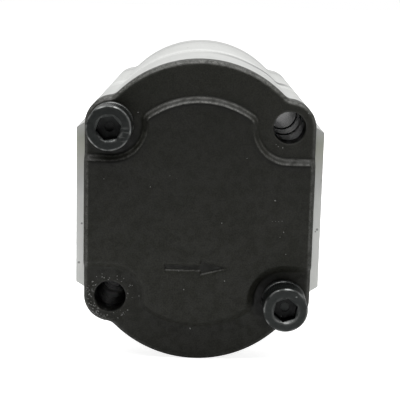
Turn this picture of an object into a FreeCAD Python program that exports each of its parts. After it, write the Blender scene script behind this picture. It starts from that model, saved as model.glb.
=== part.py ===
"""Tandem gear pump: two external gear sections on one drive line.

The frame has +Z up. The origin is the middle of the front mounting face, on the
drive shaft's axis. The shaft leaves the pump towards +Y and the rear cover looks
towards -Y. The driven gears lie above the drive gears.

Most pieces are drawn as they look from the rear: sketch x runs to the right,
sketch y runs up, and the piece grows from its front face towards the rear.
"""
import FreeCAD, Part
import itertools
import math
import os
import re

import Sketcher
from FreeCAD import Placement, Rotation, Vector

# Driving sizes in millimetres, angles in degrees.
SIZES = {
    # housing outline, seen from the rear
    "screw_half": 32.0,
    "ear_radius": 9.65,
    "arc_margin": 11.05,
    "arc_rise": 12.35,
    "ear_fillet": 5.0,
    "land_step": 3.95,
    "land_short": 2.7,
    "land_bite": 4.0,
    "land_slant": 6.0,
    # lengths of the stack
    "cover_rim": 10.0,
    "rim_break": 1.0,
    "block_long": 16.0,
    "rear_gear_room": 17.0,
    "front_gear_room": 22.0,
    "wall_long": 16.0,
    "front_cover_long": 20.0,
    # raised pad of the rear cover
    "pad_height": 2.5,
    "pad_slope": 2.4,
    "pad_reach": 1.5,
    "pad_rise": 9.3,
    "pad_hollow": 11.0,
    "pad_blend": 4.0,
    "pad_side_break": 0.9,
    # direction arrow
    "arrow_tail": -12.0,
    "arrow_tip": 10.3,
    "arrow_head": 9.4,
    "arrow_drop": -20.2,
    "arrow_shaft_half": 1.0,
    "arrow_head_half": 2.4,
    "arrow_depth": 0.8,
    # screws and the holes for the mounting bolts
    "screw_radius": 5.0,
    "screw_gap": 0.5,
    "screw_short": 2.5,
    "head_radius": 8.0,
    "head_height": 10.0,
    "head_break": 0.6,
    "socket_radius": 4.62,
    "socket_deep": 5.2,
    "washer_thick": 3.5,
    "washer_radius": 8.1,
    "washer_gap": 0.2,
    "washer_slit": 1.2,
    "bolt_hole": 5.8,
    "cored_hole": 6.3,
    "drilled_hole": 6.05,
    "drilled_long": 16.0,
    "sleeve_outer": 7.2,
    "sleeve_bore": 5.75,
    "sleeve_half": 13.0,
    # gears
    "gear_module": 3.0,
    "gear_teeth": 12,
    "pressure_angle": 25.0,
    "flank_backlash": 0.12,
    "root_depth": 3.75,
    "root_half_angle": 4.2,
    "side_gap": 0.04,
    "tip_gap": 0.05,
    # shafts
    "journal": 9.0,
    "journal_gap": 0.03,
    "journal_end_gap": 0.5,
    "tang_half": 4.0,
    "tang_gap": 0.05,
    "tang_long": 6.0,
    "disc_wall": 1.4,
    "disc_long": 12.0,
    "disc_gap": 0.6,
    "taper_start": 11.0,
    "taper_step": 0.25,
    "taper_long": 24.0,
    "taper_slope": 0.0625,
    "thread_radius": 6.0,
    "thread_long": 16.0,
    "thread_depth": 0.9,
    "neck_long": 1.6,
    "thread_break": 0.8,
    "key_disc": 8.0,
    "key_forward": 12.0,
    "key_rise": 3.0,
    "key_stand": 1.5,
    "key_half": 2.0,
    "key_gap": 0.02,
    "hub_washer_radius": 11.0,
    "hub_washer_thick": 2.5,
    "nut_radius": 10.4,
    "nut_long": 9.0,
    "thread_gap": 0.05,
    # front spigot and shaft seal
    "spigot_radius": 25.0,
    "spigot_long": 7.0,
    "spigot_break": 0.8,
    "shaft_hole_gap": 0.6,
    "seal_bore": 15.0,
    "seal_long": 7.0,
    "seal_end_gap": 0.2,
    "lip_gap": 0.03,
    "ring_deep": 0.8,
    "ring_reach": 1.6,
    "ring_thick": 1.2,
    "ring_start": 1.6,
    "ring_opening": 7.0,
    # bearing blocks
    "block_gap": 0.05,
    "relief_near": 3.0,
    "relief_far": 9.0,
    "relief_half": 4.5,
    "relief_deep": 1.5,
    # ports
    "port_wall": 4.6,
    "way_end": 6.0,
    "suction_radius": 10.0,
    "suction_pitch": 20.0,
    "pressure_radius": 7.5,
    "pressure_pitch": 17.5,
    "rear_suction_way": 7.0,
    "rear_pressure_way": 5.0,
    "front_suction_way": 8.5,
    "front_pressure_way": 6.0,
    "port_screw": 3.0,
    "port_screw_deep": 13.0,
}

# Sizes that follow from the driving ones.
REAR_BODY = "(2 * block_long + rear_gear_room)"
POCKET = "(2 * block_long + front_gear_room)"
FRONT_BODY = f"({POCKET} + wall_long)"
STACK = f"(front_cover_long + {FRONT_BODY} + {REAR_BODY})"
WIDE_ARC = "(screw_half + arc_margin)"
SIDE = "(screw_half + ear_radius)"
LAND_SIDE = f"({SIDE} + land_step)"
LAND_FLAT = "(screw_half - land_short)"
LAND_ROOT = "(screw_half + land_bite)"
PAD_ARC = "(screw_half + pad_reach)"
SCREW_HOLE = "(screw_radius + screw_gap)"
AXIS_HALF = "(gear_module * round(gear_teeth) / 2)"
TIP = f"({AXIS_HALF} + gear_module)"
ROOT = f"({AXIS_HALF} - root_depth)"
CHAMBER = f"({TIP} + tip_gap)"
DISC = "(journal + disc_wall)"
CONE_BIG = "(journal - taper_step)"
CONE_SMALL = f"({CONE_BIG} - taper_long * taper_slope)"
CONE_END = "(taper_start + taper_long)"
KEY_CENTRE = "(taper_start + key_forward)"
KEY_LIFT = "(journal + key_rise)"
KEY_TOP = "(journal + key_stand)"
RING_GROOVE = "(seal_bore + ring_deep)"
SEAL_ROOM = "(ring_start + ring_thick + seal_end_gap + seal_long)"

doc = FreeCAD.newDocument("tandem_pump")
sheet = doc.addObject("Spreadsheet::Sheet", "sizes")
for row, (alias, number) in enumerate(SIZES.items(), start=1):
    sheet.set(f"A{row}", alias)
    sheet.set(f"B{row}", str(number))
    sheet.setAlias(f"B{row}", alias)
doc.recompute()


def linked(formula):
    """Return the formula with each size's name pointing into the sheet."""
    return re.sub(r"\b[a-z][a-z_]+\b(?!\()", r"sizes.\g<0>", formula)


def value(formula):
    """Return the number that a formula over the sheet's sizes gives."""
    return float(doc.sizes.evalExpression(formula))


def bind(item, path, formula):
    """Bind one property of an object to a formula over the sheet's sizes."""
    item.setExpression(path, linked(formula))


def place(item, label, across="0", along="0", up="0", turn=90):
    """Name a piece and stand it up in the pump's frame."""
    item.Label = label
    item.Placement = Placement(Vector(), Rotation(Vector(1, 0, 0), turn))
    for axis, formula in zip("xyz", (across, along, up)):
        if formula != "0":
            bind(item, f"Placement.Base.{axis}", formula)
    return item


def new_body(label, along="0", up="0", turn=90):
    """Start a solid body whose drawing plane stands across the pump's axis."""
    body = doc.addObject("PartDesign::Body", label)
    return place(body, label, along=along, up=up, turn=turn)


def new_sketch(body, name, plane="XY_Plane", lift="0"):
    """Start a sketch on one of the body's own planes, lifted along its normal."""
    sketch = body.newObject("Sketcher::SketchObject", name)
    sketch.AttachmentSupport = [(find_plane(body, plane), "")]
    sketch.MapMode = "FlatFace"
    if lift != "0":
        bind(sketch, "AttachmentOffset.Base.z", lift)
    return sketch


def find_plane(body, role):
    """Return the body's origin plane or axis that has this role."""
    return next(item for item in body.Origin.OriginFeatures if item.Role == role)


def bound_constraint(sketch, formula, *parts):
    """Add a dimension to a sketch and bind it to a formula."""
    number = sketch.addConstraint(Sketcher.Constraint(*parts, value(formula)))
    bind(sketch, f"Constraints[{number}]", formula)


def pin_point(sketch, curve, end, across=None, up=None):
    """Fix a point's distance from the sketch's origin, across and up."""
    for kind, axis, formula in (("DistanceX", -2, across), ("DistanceY", -1, up)):
        if formula is None:
            continue
        if formula == "0":
            sketch.addConstraint(Sketcher.Constraint("PointOnObject", curve, end, axis))
        else:
            bound_constraint(sketch, formula, kind, -1, 1, curve, end)


def add_circle(sketch, radius, across="0", up="0"):
    """Add a circle with its radius and its centre bound to formulas."""
    centre = Vector(value(across), value(up), 0)
    curve = sketch.addGeometry(Part.Circle(centre, Vector(0, 0, 1), value(radius)), False)
    bound_constraint(sketch, radius, "Radius", curve)
    pin_point(sketch, curve, 3, across, up)


def add_polygon(sketch, corners):
    """Add a closed polygon with every corner bound to its pair of formulas."""
    spots = [Vector(value(x), value(y), 0) for x, y in corners]
    count = len(corners)
    first = sketch.GeometryCount
    for number in range(count):
        end = spots[(number + 1) % count]
        sketch.addGeometry(Part.LineSegment(spots[number], end), False)
    for number in range(count):
        following = first + (number + 1) % count
        joint = Sketcher.Constraint("Coincident", first + number, 2, following, 1)
        sketch.addConstraint(joint)
    for number, (across, up) in enumerate(corners):
        pin_point(sketch, first + number, 1, across, up)


def add_line(sketch, start, end):
    """Add a straight line and return its number."""
    return sketch.addGeometry(Part.LineSegment(Vector(*start, 0), Vector(*end, 0)), False)


def add_arc(sketch, centre, start, end):
    """Add the arc that runs counter-clockwise from start to end."""
    angles = [math.atan2(y - centre[1], x - centre[0]) for x, y in (start, end)]
    radius = math.dist(centre, start)
    circle = Part.Circle(Vector(*centre, 0), Vector(0, 0, 1), radius)
    return sketch.addGeometry(Part.ArcOfCircle(circle, *angles), False)


def join_ends(sketch, curves, smooth=True):
    """Join each curve to the next one, tangent to it when smooth."""
    pairs = list(zip(curves, curves[1:] + curves[:1]))
    for one, other in pairs if len(curves) > 2 else pairs[:1]:
        join_pair(sketch, one, other, smooth)


def join_pair(sketch, one, other, smooth):
    """Join two curves wherever their ends meet."""
    kind = "Tangent" if smooth else "Coincident"
    for end, start in itertools.product((1, 2), (1, 2)):
        gap = sketch.getPoint(one, end).distanceToPoint(sketch.getPoint(other, start))
        if gap < 1e-6:
            sketch.addConstraint(Sketcher.Constraint(kind, one, end, other, start))


def meet(one, reach_one, other, reach_other, side):
    """Return the point at two given distances from two centres."""
    span = math.dist(one, other)
    along = (reach_one ** 2 - reach_other ** 2 + span ** 2) / (2 * span)
    aside = side * math.sqrt(reach_one ** 2 - along ** 2)
    step = ((other[0] - one[0]) / span, (other[1] - one[1]) / span)
    return (one[0] + along * step[0] - aside * step[1],
            one[1] + along * step[1] + aside * step[0])


def towards(centre, point, radius):
    """Return the point at a radius from the centre, on the way to a point."""
    share = radius / math.dist(centre, point)
    return (centre[0] + share * (point[0] - centre[0]),
            centre[1] + share * (point[1] - centre[1]))


def mirrored_arc(sketch, quarter, centre, start, end):
    """Add an arc given for the first quarter, mirrored into another quarter."""
    flip = [(quarter[0] * x, quarter[1] * y) for x, y in (centre, start, end)]
    if quarter[0] * quarter[1] < 0:
        flip[1], flip[2] = flip[2], flip[1]
    return add_arc(sketch, *flip)


# Quarters of a symmetric outline, taken round it counter-clockwise.
QUARTERS = ((1, 1), (-1, 1), (-1, -1), (1, -1))


def signed(sign, name):
    """Return a size's name with the sign that its quarter gives it."""
    return name if sign > 0 else f"-{name}"


def add_housing_outline(sketch):
    """Draw the housing's outline: two wide arcs, four ears and two flat sides."""
    screw, ear = value("screw_half"), value("ear_radius")
    wide, rise, blend = value(WIDE_ARC), value("arc_rise"), value("ear_fillet")
    hub, ear_hub = (0, rise), (screw, screw)
    blend_hub = meet(hub, wide + blend, ear_hub, ear + blend, 1)
    on_ear = towards(ear_hub, blend_hub, ear)
    on_wide = towards(hub, blend_hub, wide)
    curves = []
    for quarter in QUARTERS:
        side = (screw + ear, screw)
        corner = [mirrored_arc(sketch, quarter, ear_hub, side, on_ear),
                  mirrored_arc(sketch, quarter, blend_hub, on_wide, on_ear)]
        bound_constraint(sketch, "ear_radius", "Radius", corner[0])
        pin_point(sketch, corner[0], 3, signed(quarter[0], "screw_half"),
                  signed(quarter[1], "screw_half"))
        bound_constraint(sketch, "ear_fillet", "Radius", corner[1])
        curves += corner if quarter[0] * quarter[1] > 0 else corner[::-1]
        if quarter in ((1, 1), (-1, -1)):
            flip = quarter[1]
            start = (flip * on_wide[0], flip * on_wide[1])
            end = (-start[0], start[1])
            arc = add_arc(sketch, (0, flip * rise), start, end)
            bound_constraint(sketch, WIDE_ARC, "Radius", arc)
            pin_point(sketch, arc, 3, "0", signed(flip, "arc_rise"))
            curves.append(arc)
        else:
            x, y = quarter[0] * side[0], quarter[1] * side[1]
            curves.append(add_line(sketch, (x, y), (x, -y)))
    join_ends(sketch, curves)


def add_figure_eight(sketch, radius):
    """Draw two equal circles round the gear axes, joined where they cross."""
    reach, half = value(radius), value(AXIS_HALF)
    waist = math.sqrt(reach ** 2 - half ** 2)
    upper = add_arc(sketch, (0, half), (waist, 0), (-waist, 0))
    lower = add_arc(sketch, (0, -half), (-waist, 0), (waist, 0))
    for arc, centre in ((upper, AXIS_HALF), (lower, f"-{AXIS_HALF}")):
        bound_constraint(sketch, radius, "Radius", arc)
        pin_point(sketch, arc, 3, "0", centre)
    join_ends(sketch, [upper, lower], smooth=False)


def grow(body, sketch, length, name, forward=False):
    """Pad a sketch towards the rear, or forward from its plane."""
    feature = body.newObject("PartDesign::Pad", name)
    feature.Profile = sketch
    bind(feature, "Length", length)
    feature.Reversed = forward
    doc.recompute()
    return feature


def cut(body, sketch, name, depth=None, along_normal=True):
    """Pocket a sketch along its normal or against it, right through without a depth."""
    before = body.Shape.Volume
    feature = body.newObject("PartDesign::Pocket", name)
    feature.Profile = sketch
    feature.Reversed = along_normal
    if depth is None:
        feature.Type = "ThroughAll"
    else:
        bind(feature, "Length", depth)
    doc.recompute()
    if body.Shape.Volume > before - 1e-3:
        raise RuntimeError(f"{body.Label}: {name} cuts nothing")
    return feature


def dress(body, kind, base, edges, size, name):
    """Round or bevel the named edges of the last feature."""
    feature = body.newObject(f"PartDesign::{kind}", name)
    feature.Base = (base, edges)
    bind(feature, "Radius" if kind == "Fillet" else "Size", size)
    doc.recompute()
    return feature


def edges_at(feature, height, keep=lambda edge: True):
    """Name the edges that lie wholly at one height and pass a test."""
    names = []
    for number, edge in enumerate(feature.Shape.Edges, start=1):
        box = edge.BoundBox
        flat = abs(box.ZMin - height) < 1e-4 and abs(box.ZMax - height) < 1e-4
        if flat and keep(edge):
            names.append(f"Edge{number}")
    return names


def revolve(body, steps, name):
    """Turn a stepped outline of (height, radius) formulas round the body's z axis."""
    sketch = new_sketch(body, f"{name}_outline", "XZ_Plane")
    corners = [("0", steps[0][0])]
    corners += [(radius, height) for height, radius in steps]
    corners.append(("0", steps[-1][0]))
    add_polygon(sketch, corners)
    feature = body.newObject("PartDesign::Revolution", name)
    feature.Profile = sketch
    feature.ReferenceAxis = (sketch, ["V_Axis"])
    feature.Angle = 360
    doc.recompute()
    return feature


def add_land_outline(sketch):
    """Draw the machined lands that the ports open on, left and right."""
    corners = []
    slant = f"({LAND_FLAT} + land_slant)"
    for x, y in QUARTERS:
        pair = [(signed(x, LAND_SIDE), signed(y, LAND_FLAT)),
                (signed(x, LAND_ROOT), signed(y, slant))]
        corners += pair if x * y > 0 else pair[::-1]
    add_polygon(sketch, corners)


def cut_round(body, name, spots, radius, lift="0", depth=None):
    """Cut round holes towards the rear at spots given as pairs of formulas."""
    sketch = new_sketch(body, f"{name}_rings", lift=lift)
    for across, up in spots:
        add_circle(sketch, radius, across, up)
    return cut(body, sketch, name, depth)


SCREW_SPOTS = (("-screw_half", "screw_half"), ("screw_half", "-screw_half"))
BOLT_SPOTS = (("screw_half", "screw_half"), ("-screw_half", "-screw_half"))


def add_port(body, name, side, centre, bore, way, pitch):
    """Cut one side port: a wide bore, a narrower way in and four screw holes."""
    face = signed(side, LAND_SIDE)
    inward = side < 0
    sketch = new_sketch(body, f"{name}_bore_ring", "YZ_Plane", face)
    add_circle(sketch, bore, "0", centre)
    cut(body, sketch, f"{name}_bore", f"({LAND_SIDE} - {TIP} - port_wall)", inward)
    sketch = new_sketch(body, f"{name}_way_ring", "YZ_Plane", face)
    add_circle(sketch, way, "0", centre)
    cut(body, sketch, f"{name}_way", f"({LAND_SIDE} - way_end)", inward)
    sketch = new_sketch(body, f"{name}_screw_rings", "YZ_Plane", face)
    reach = f"{pitch} / sqrt(2)"
    for x, y in QUARTERS:
        add_circle(sketch, "port_screw", signed(x, reach), f"{centre} + {signed(y, reach)}")
    cut(body, sketch, f"{name}_screws", "port_screw_deep", inward)


def add_ports(body, centre, suction_way, pressure_way):
    """Cut the suction port on the left and the pressure port on the right."""
    add_port(body, "suction", -1, centre, "suction_radius", suction_way, "suction_pitch")
    add_port(body, "pressure", 1, centre, "pressure_radius", pressure_way, "pressure_pitch")


def start_housing(label, along, length):
    """Start a housing piece: the common outline drawn out to a length."""
    body = new_body(label, along, AXIS_HALF)
    sketch = new_sketch(body, "outline")
    add_housing_outline(sketch)
    grow(body, sketch, length, "block")
    return body


def add_lands(body, length):
    """Add the two port lands along a housing piece."""
    sketch = new_sketch(body, "land_outline")
    add_land_outline(sketch)
    grow(body, sketch, length, "lands")


def add_pad_outline(sketch):
    """Draw the cover's raised pad: it steps back round the four screw places."""
    screw, hollow, side = value("screw_half"), value("pad_hollow"), value(SIDE)
    wide, rise, blend = value(PAD_ARC), value("pad_rise"), value("pad_blend")
    hub, ear_hub = (0, rise), (screw, screw)
    blend_hub = meet(hub, wide - blend, ear_hub, hollow + blend, 1)
    on_hollow = towards(ear_hub, blend_hub, hollow)
    on_wide = towards(hub, blend_hub, wide)
    foot = screw - hollow
    curves, sides = [], []
    for quarter in QUARTERS:
        edge, inner = [(quarter[0] * x, quarter[1] * foot) for x in (side, screw)]
        corner = [add_line(sketch, edge, inner),
                  mirrored_arc(sketch, quarter, ear_hub, on_hollow, (screw, foot)),
                  mirrored_arc(sketch, quarter, blend_hub, on_hollow, on_wide)]
        sketch.addConstraint(Sketcher.Constraint("Horizontal", corner[0]))
        bound_constraint(sketch, "pad_hollow", "Radius", corner[1])
        pin_point(sketch, corner[1], 3, signed(quarter[0], "screw_half"),
                  signed(quarter[1], "screw_half"))
        bound_constraint(sketch, "pad_blend", "Radius", corner[2])
        curves += corner if quarter[0] * quarter[1] > 0 else corner[::-1]
        if quarter in ((1, 1), (-1, -1)):
            flip = quarter[1]
            start = (flip * on_wide[0], flip * on_wide[1])
            arc = add_arc(sketch, (0, flip * rise), start, (-start[0], start[1]))
            bound_constraint(sketch, PAD_ARC, "Radius", arc)
            pin_point(sketch, arc, 3, "0", signed(flip, "pad_rise"))
            curves.append(arc)
        else:
            line = add_line(sketch, edge, (edge[0], -edge[1]))
            for end in (1, 2):
                pin_point(sketch, line, end, signed(quarter[0], SIDE))
            sides.append(line)
            curves.append(line)
    for one, other in zip(curves, curves[1:] + curves[:1]):
        join_pair(sketch, one, other, smooth=one not in sides and other not in sides)


def make_rear_cover():
    """Cast cover that closes the rear section, with its raised pad and arrow."""
    body = start_housing("rear_cover", f"-{STACK}", "cover_rim")
    rim = value("cover_rim")
    base = body.Tip
    dress(body, "Chamfer", base, edges_at(base, rim), "rim_break", "rim_edge")

    sketch = new_sketch(body, "pad_outline", lift="(cover_rim - rim_break)")
    add_pad_outline(sketch)
    pad = grow(body, sketch, "(pad_height + rim_break)", "raised_pad")
    top = rim + value("pad_height")
    side = value(SIDE)

    def is_side(edge):
        return abs(abs(edge.CenterOfMass.x) - side) < 0.01

    slope = dress(body, "Chamfer", pad, edges_at(pad, top, lambda edge: not is_side(edge)),
                  "pad_slope", "pad_slopes")
    dress(body, "Chamfer", slope, edges_at(slope, top, is_side), "pad_side_break", "side_break")

    sketch = new_sketch(body, "arrow", lift="(cover_rim + pad_height)")
    neck = "(arrow_tip - arrow_head)"
    high, low = "(arrow_drop + arrow_shaft_half)", "(arrow_drop - arrow_shaft_half)"
    add_polygon(sketch, [("arrow_tail", high), ("arrow_tail", low), (neck, low),
                         (neck, "(arrow_drop - arrow_head_half)"),
                         ("arrow_tip", "arrow_drop"),
                         (neck, "(arrow_drop + arrow_head_half)"), (neck, high)])
    cut(body, sketch, "arrow_recess", "arrow_depth", along_normal=False)
    cut_round(body, "screw_holes", SCREW_SPOTS, SCREW_HOLE)
    cut_round(body, "bolt_holes", BOLT_SPOTS, "bolt_hole")
    return body


def make_rear_body():
    """Rear section's body: open at both ends, with its chamber and two ports."""
    body = start_housing("rear_body", f"-(front_cover_long + {FRONT_BODY})", REAR_BODY)
    add_lands(body, REAR_BODY)
    sketch = new_sketch(body, "chamber_outline")
    add_figure_eight(sketch, CHAMBER)
    cut(body, sketch, "chamber")
    cut_round(body, "screw_holes", SCREW_SPOTS, SCREW_HOLE)
    cut_round(body, "sleeve_seats", BOLT_SPOTS, "sleeve_outer", depth="sleeve_half")
    cut_round(body, "drilled_holes", BOLT_SPOTS, "drilled_hole", "sleeve_half", "drilled_long")
    cut_round(body, "cored_holes", BOLT_SPOTS, "cored_hole", "(sleeve_half + drilled_long)")
    add_ports(body, "(block_long + rear_gear_room / 2)", "rear_suction_way",
              "rear_pressure_way")
    return body


def make_front_body():
    """Front section's body: its chamber ends at a wall that carries the drive through."""
    body = start_housing("front_body", "-front_cover_long", FRONT_BODY)
    add_lands(body, FRONT_BODY)
    sketch = new_sketch(body, "chamber_outline")
    add_figure_eight(sketch, CHAMBER)
    cut(body, sketch, "chamber", POCKET)
    cut_round(body, "drive_hole", [("0", f"-{AXIS_HALF}")], f"({DISC} + disc_gap)")
    cut_round(body, "screw_holes", SCREW_SPOTS, SCREW_HOLE)
    cut_round(body, "front_sleeve_seats", BOLT_SPOTS, "sleeve_outer", depth="sleeve_half")
    cut_round(body, "rear_sleeve_seats", BOLT_SPOTS, "sleeve_outer",
              f"({FRONT_BODY} - sleeve_half)")
    cut_round(body, "bolt_holes", BOLT_SPOTS, "drilled_hole")
    add_ports(body, "(block_long + front_gear_room / 2)", "front_suction_way",
              "front_pressure_way")
    return body


def make_front_cover():
    """Front cover: mounting face, spigot, and the shaft seal's room."""
    body = start_housing("front_cover", "0", "front_cover_long")
    drive = [("0", f"-{AXIS_HALF}")]
    sketch = new_sketch(body, "spigot_ring")
    add_circle(sketch, "spigot_radius", *drive[0])
    spigot = grow(body, sketch, "spigot_long", "spigot", forward=True)
    rim = edges_at(spigot, -value("spigot_long"))
    dress(body, "Chamfer", spigot, rim, "spigot_break", "spigot_edge")
    cut_round(body, "shaft_hole", drive, "(journal + shaft_hole_gap)", "-spigot_long")
    cut_round(body, "seal_room", drive, "seal_bore", "-spigot_long", SEAL_ROOM)
    cut_round(body, "ring_groove", drive, RING_GROOVE, "(ring_start - spigot_long)",
              "ring_thick")
    cut_round(body, "screw_threads", SCREW_SPOTS, "(screw_radius + thread_gap)")
    cut_round(body, "bolt_holes", BOLT_SPOTS, "bolt_hole")
    cut_round(body, "sleeve_seats", BOLT_SPOTS, "sleeve_outer",
              "(front_cover_long - sleeve_half)")
    return body


def make_block(label, along, turn):
    """Bearing block for one side of a gear pair, gear face at its own zero."""
    body = new_body(label, along, AXIS_HALF, turn)
    sketch = new_sketch(body, "outline")
    add_figure_eight(sketch, f"({CHAMBER} - block_gap)")
    grow(body, sketch, "block_long", "block")
    cut_round(body, "journal_bores", [("0", AXIS_HALF), ("0", f"-{AXIS_HALF}")],
              "(journal + journal_gap)")
    for name, side in (("suction_relief", "-"), ("pressure_relief", "")):
        sketch = new_sketch(body, f"{name}_outline")
        add_polygon(sketch, [(f"{side}relief_near", "-relief_half"),
                             (f"{side}relief_far", "-relief_half"),
                             (f"{side}relief_far", "relief_half"),
                             (f"{side}relief_near", "relief_half")])
        cut(body, sketch, name, "relief_deep")
    return body


def make_ring(name, inner, outer, length, across, along, up):
    """Make one plain ring round the pump's long direction, its front face at along."""
    walls = []
    for part, radius in (("wall", outer), ("bore", inner)):
        cylinder = doc.addObject("Part::Cylinder", f"{name}_{part}")
        bind(cylinder, "Radius", radius)
        bind(cylinder, "Height", length)
        walls.append(cylinder)
    ring = doc.addObject("Part::Cut", name)
    ring.Base, ring.Tool = walls
    return place(ring, name, across, along, up)


def make_group(label, members):
    """Gather equal pieces into one named group of separate solids."""
    group = doc.addObject("Part::Compound", label)
    group.Label = label
    group.Links = members
    return group


def make_sleeves():
    """Hollow locating sleeves in the long bolt holes, across two of the joints."""
    joints = ("-(front_cover_long - sleeve_half)",
              f"-(front_cover_long + {FRONT_BODY} - sleeve_half)")
    rings = []
    for number, (along, side) in enumerate(itertools.product(joints, ("", "-"))):
        rings.append(make_ring(f"sleeve_{number}", "sleeve_bore", "sleeve_outer",
                               "2 * sleeve_half", f"{side}screw_half", along,
                               f"({AXIS_HALF} + {side}screw_half)"))
    return make_group("locating_sleeves", rings)


def make_washers():
    """Split lock washers under the two screw heads, their slits to the left."""
    washers = []
    for number, (across, up) in enumerate(SCREW_SPOTS):
        seat = (across, f"-({STACK} + cover_rim)", f"({AXIS_HALF} + {up})")
        ring = make_ring(f"washer_ring_{number}", "(screw_radius + washer_gap)",
                         "washer_radius", "washer_thick", *seat)
        slit = doc.addObject("Part::Box", f"washer_slit_{number}")
        bind(slit, "Length", "washer_radius")
        bind(slit, "Width", "washer_slit")
        bind(slit, "Height", "washer_thick")
        place(slit, slit.Name, f"({across} - washer_radius)", *seat[1:])
        washer = doc.addObject("Part::Cut", f"washer_{number}")
        washer.Base, washer.Tool = ring, slit
        washers.append(washer)
    return make_group("lock_washers", washers)


def make_screw(name, across, up, spin):
    """One socket head cap screw, its socket turned by an angle in degrees."""
    seat = f"({STACK} + cover_rim + washer_thick)"
    grip = f"({seat} - screw_short)"
    body = new_body(name, f"-{seat}", f"({AXIS_HALF} + {up})")
    bind(body, "Placement.Base.x", across)
    revolve(body, [(f"-{grip}", "(screw_radius - head_break)"),
                   (f"(head_break - {grip})", "screw_radius"), ("0", "screw_radius"),
                   ("0", "head_radius"), ("(head_height - head_break)", "head_radius"),
                   ("head_height", "(head_radius - head_break)")], "turned_shape")
    sketch = new_sketch(body, "socket_outline", lift="head_height")
    corners = []
    for step in range(6):
        angle = math.radians(spin + 60 * step)
        corners.append((f"socket_radius * {math.cos(angle):.6f}",
                        f"socket_radius * {math.sin(angle):.6f}"))
    add_polygon(sketch, corners)
    cut(body, sketch, "socket", "socket_deep", along_normal=False)
    return body


def make_screws():
    """The two long screws that hold the stack, seen with their sockets as turned in."""
    turns = (-110.0, -100.5)
    bodies = [make_screw(f"cap_screw_{number}", *spot, spin)
              for number, (spot, spin) in enumerate(zip(SCREW_SPOTS, turns))]
    return make_group("cap_screws", bodies)


def add_tooth_outline(sketch, spin):
    """Draw the toothed wheel: involute flanks, round tips and narrowing roots."""
    teeth = round(value("gear_teeth"))
    angle = math.radians(value("pressure_angle"))
    pitch, tip, root = value(AXIS_HALF), value(TIP), value(ROOT)
    base = pitch * math.cos(angle)
    thick = math.pi / (2 * teeth) - value("flank_backlash") / (4 * pitch)
    half_base = thick + math.tan(angle) - angle

    def flank(radius):
        turn = math.acos(base / radius)
        return half_base - (math.tan(turn) - turn)

    def spot(radius, turn):
        return Vector(radius * math.cos(turn), radius * math.sin(turn), 0)

    step = 2 * math.pi / teeth
    middle = (base + tip) / 2
    for number in range(teeth):
        axis = math.radians(spin) + number * step
        low, mid, high = flank(base), flank(middle), flank(tip)
        arcs = [(spot(base, axis - low), spot(middle, axis - mid), spot(tip, axis - high)),
                (spot(tip, axis - high), spot(tip, axis), spot(tip, axis + high)),
                (spot(tip, axis + high), spot(middle, axis + mid), spot(base, axis + low))]
        for points in arcs:
            sketch.addGeometry(Part.Arc(*points), False)
        gap_middle, gap_half = axis + step / 2, math.radians(value("root_half_angle"))
        corners = [spot(base, axis + low), spot(root, gap_middle - gap_half),
                   spot(root, gap_middle + gap_half), spot(base, axis + step - low)]
        for start, end in zip(corners, corners[1:]):
            sketch.addGeometry(Part.LineSegment(start, end), False)
    curves = range(sketch.GeometryCount)
    for one, other in zip(curves, [*curves[1:], 0]):
        join_pair(sketch, one, other, smooth=False)


def add_wheel(body, start, room, spin):
    """Add the toothed wheel in its room between two blocks, with a running gap."""
    sketch = new_sketch(body, "tooth_outline", lift=f"({start} + side_gap)")
    add_tooth_outline(sketch, spin)
    grow(body, sketch, f"({room} - 2 * side_gap)", "wheel")


def cut_tang(body, name, start, length):
    """Cut a shaft's end to a flat tang by taking away both of its sides."""
    reach = "(2 * journal)"
    for side in ("", "-"):
        sketch = new_sketch(body, f"{name}_side{side or '+'}", lift=start)
        add_polygon(sketch, [(f"{side}tang_half", f"-{reach}"), (f"{side}{reach}", f"-{reach}"),
                             (f"{side}{reach}", reach), (f"{side}tang_half", reach)])
        cut(body, sketch, f"{name}_flat{side or '+'}", length)


def make_front_drive_gear():
    """Drive shaft and front drive gear in one piece, tapered and threaded ahead."""
    body = new_body("front_drive_gear")
    gear = "(front_cover_long + block_long)"
    end = f"(front_cover_long + {POCKET})"
    cone_end = f"-{CONE_END}"
    tip = f"({cone_end} - thread_long)"
    neck = "(thread_radius - thread_depth)"
    revolve(body, [(tip, "(thread_radius - thread_break)"),
                   (f"({tip} + thread_break)", "thread_radius"),
                   (f"({cone_end} - neck_long)", "thread_radius"),
                   (f"({cone_end} - neck_long)", neck),
                   (cone_end, neck), (cone_end, CONE_SMALL), ("-taper_start", CONE_BIG),
                   ("-(taper_start - taper_step)", "journal"),
                   (f"({end} + tang_long)", "journal")], "shaft")
    add_wheel(body, gear, "front_gear_room", 90)
    cut_tang(body, "rear_tang", end, "tang_long")
    sketch = new_sketch(body, "key_seat_ring", "YZ_Plane", "-(key_half + key_gap)")
    add_circle(sketch, "(key_disc + key_gap)", KEY_LIFT, f"-{KEY_CENTRE}")
    cut(body, sketch, "key_seat", "2 * (key_half + key_gap)")
    return body


def make_driven_gear(label, start, room):
    """Driven gear: a toothed wheel between two journals."""
    body = new_body(label, up=f"2 * {AXIS_HALF}")
    first = f"({start} + journal_end_gap)"
    last = f"({start} + 2 * block_long + {room} - journal_end_gap)"
    revolve(body, [(first, "journal"), (last, "journal")], "shaft")
    add_wheel(body, f"({start} + block_long)", room, 105)
    return body


def make_rear_drive_gear():
    """Rear drive gear, taken along by its tang in the coupling disc."""
    body = new_body("rear_drive_gear")
    start = f"(front_cover_long + {FRONT_BODY})"
    last = f"({STACK} - journal_end_gap)"
    revolve(body, [(f"({start} - tang_long)", "journal"), (last, "journal")], "shaft")
    add_wheel(body, f"({start} + block_long)", "rear_gear_room", 90)
    cut_tang(body, "front_tang", f"({start} - tang_long)", "tang_long")
    return body


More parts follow.
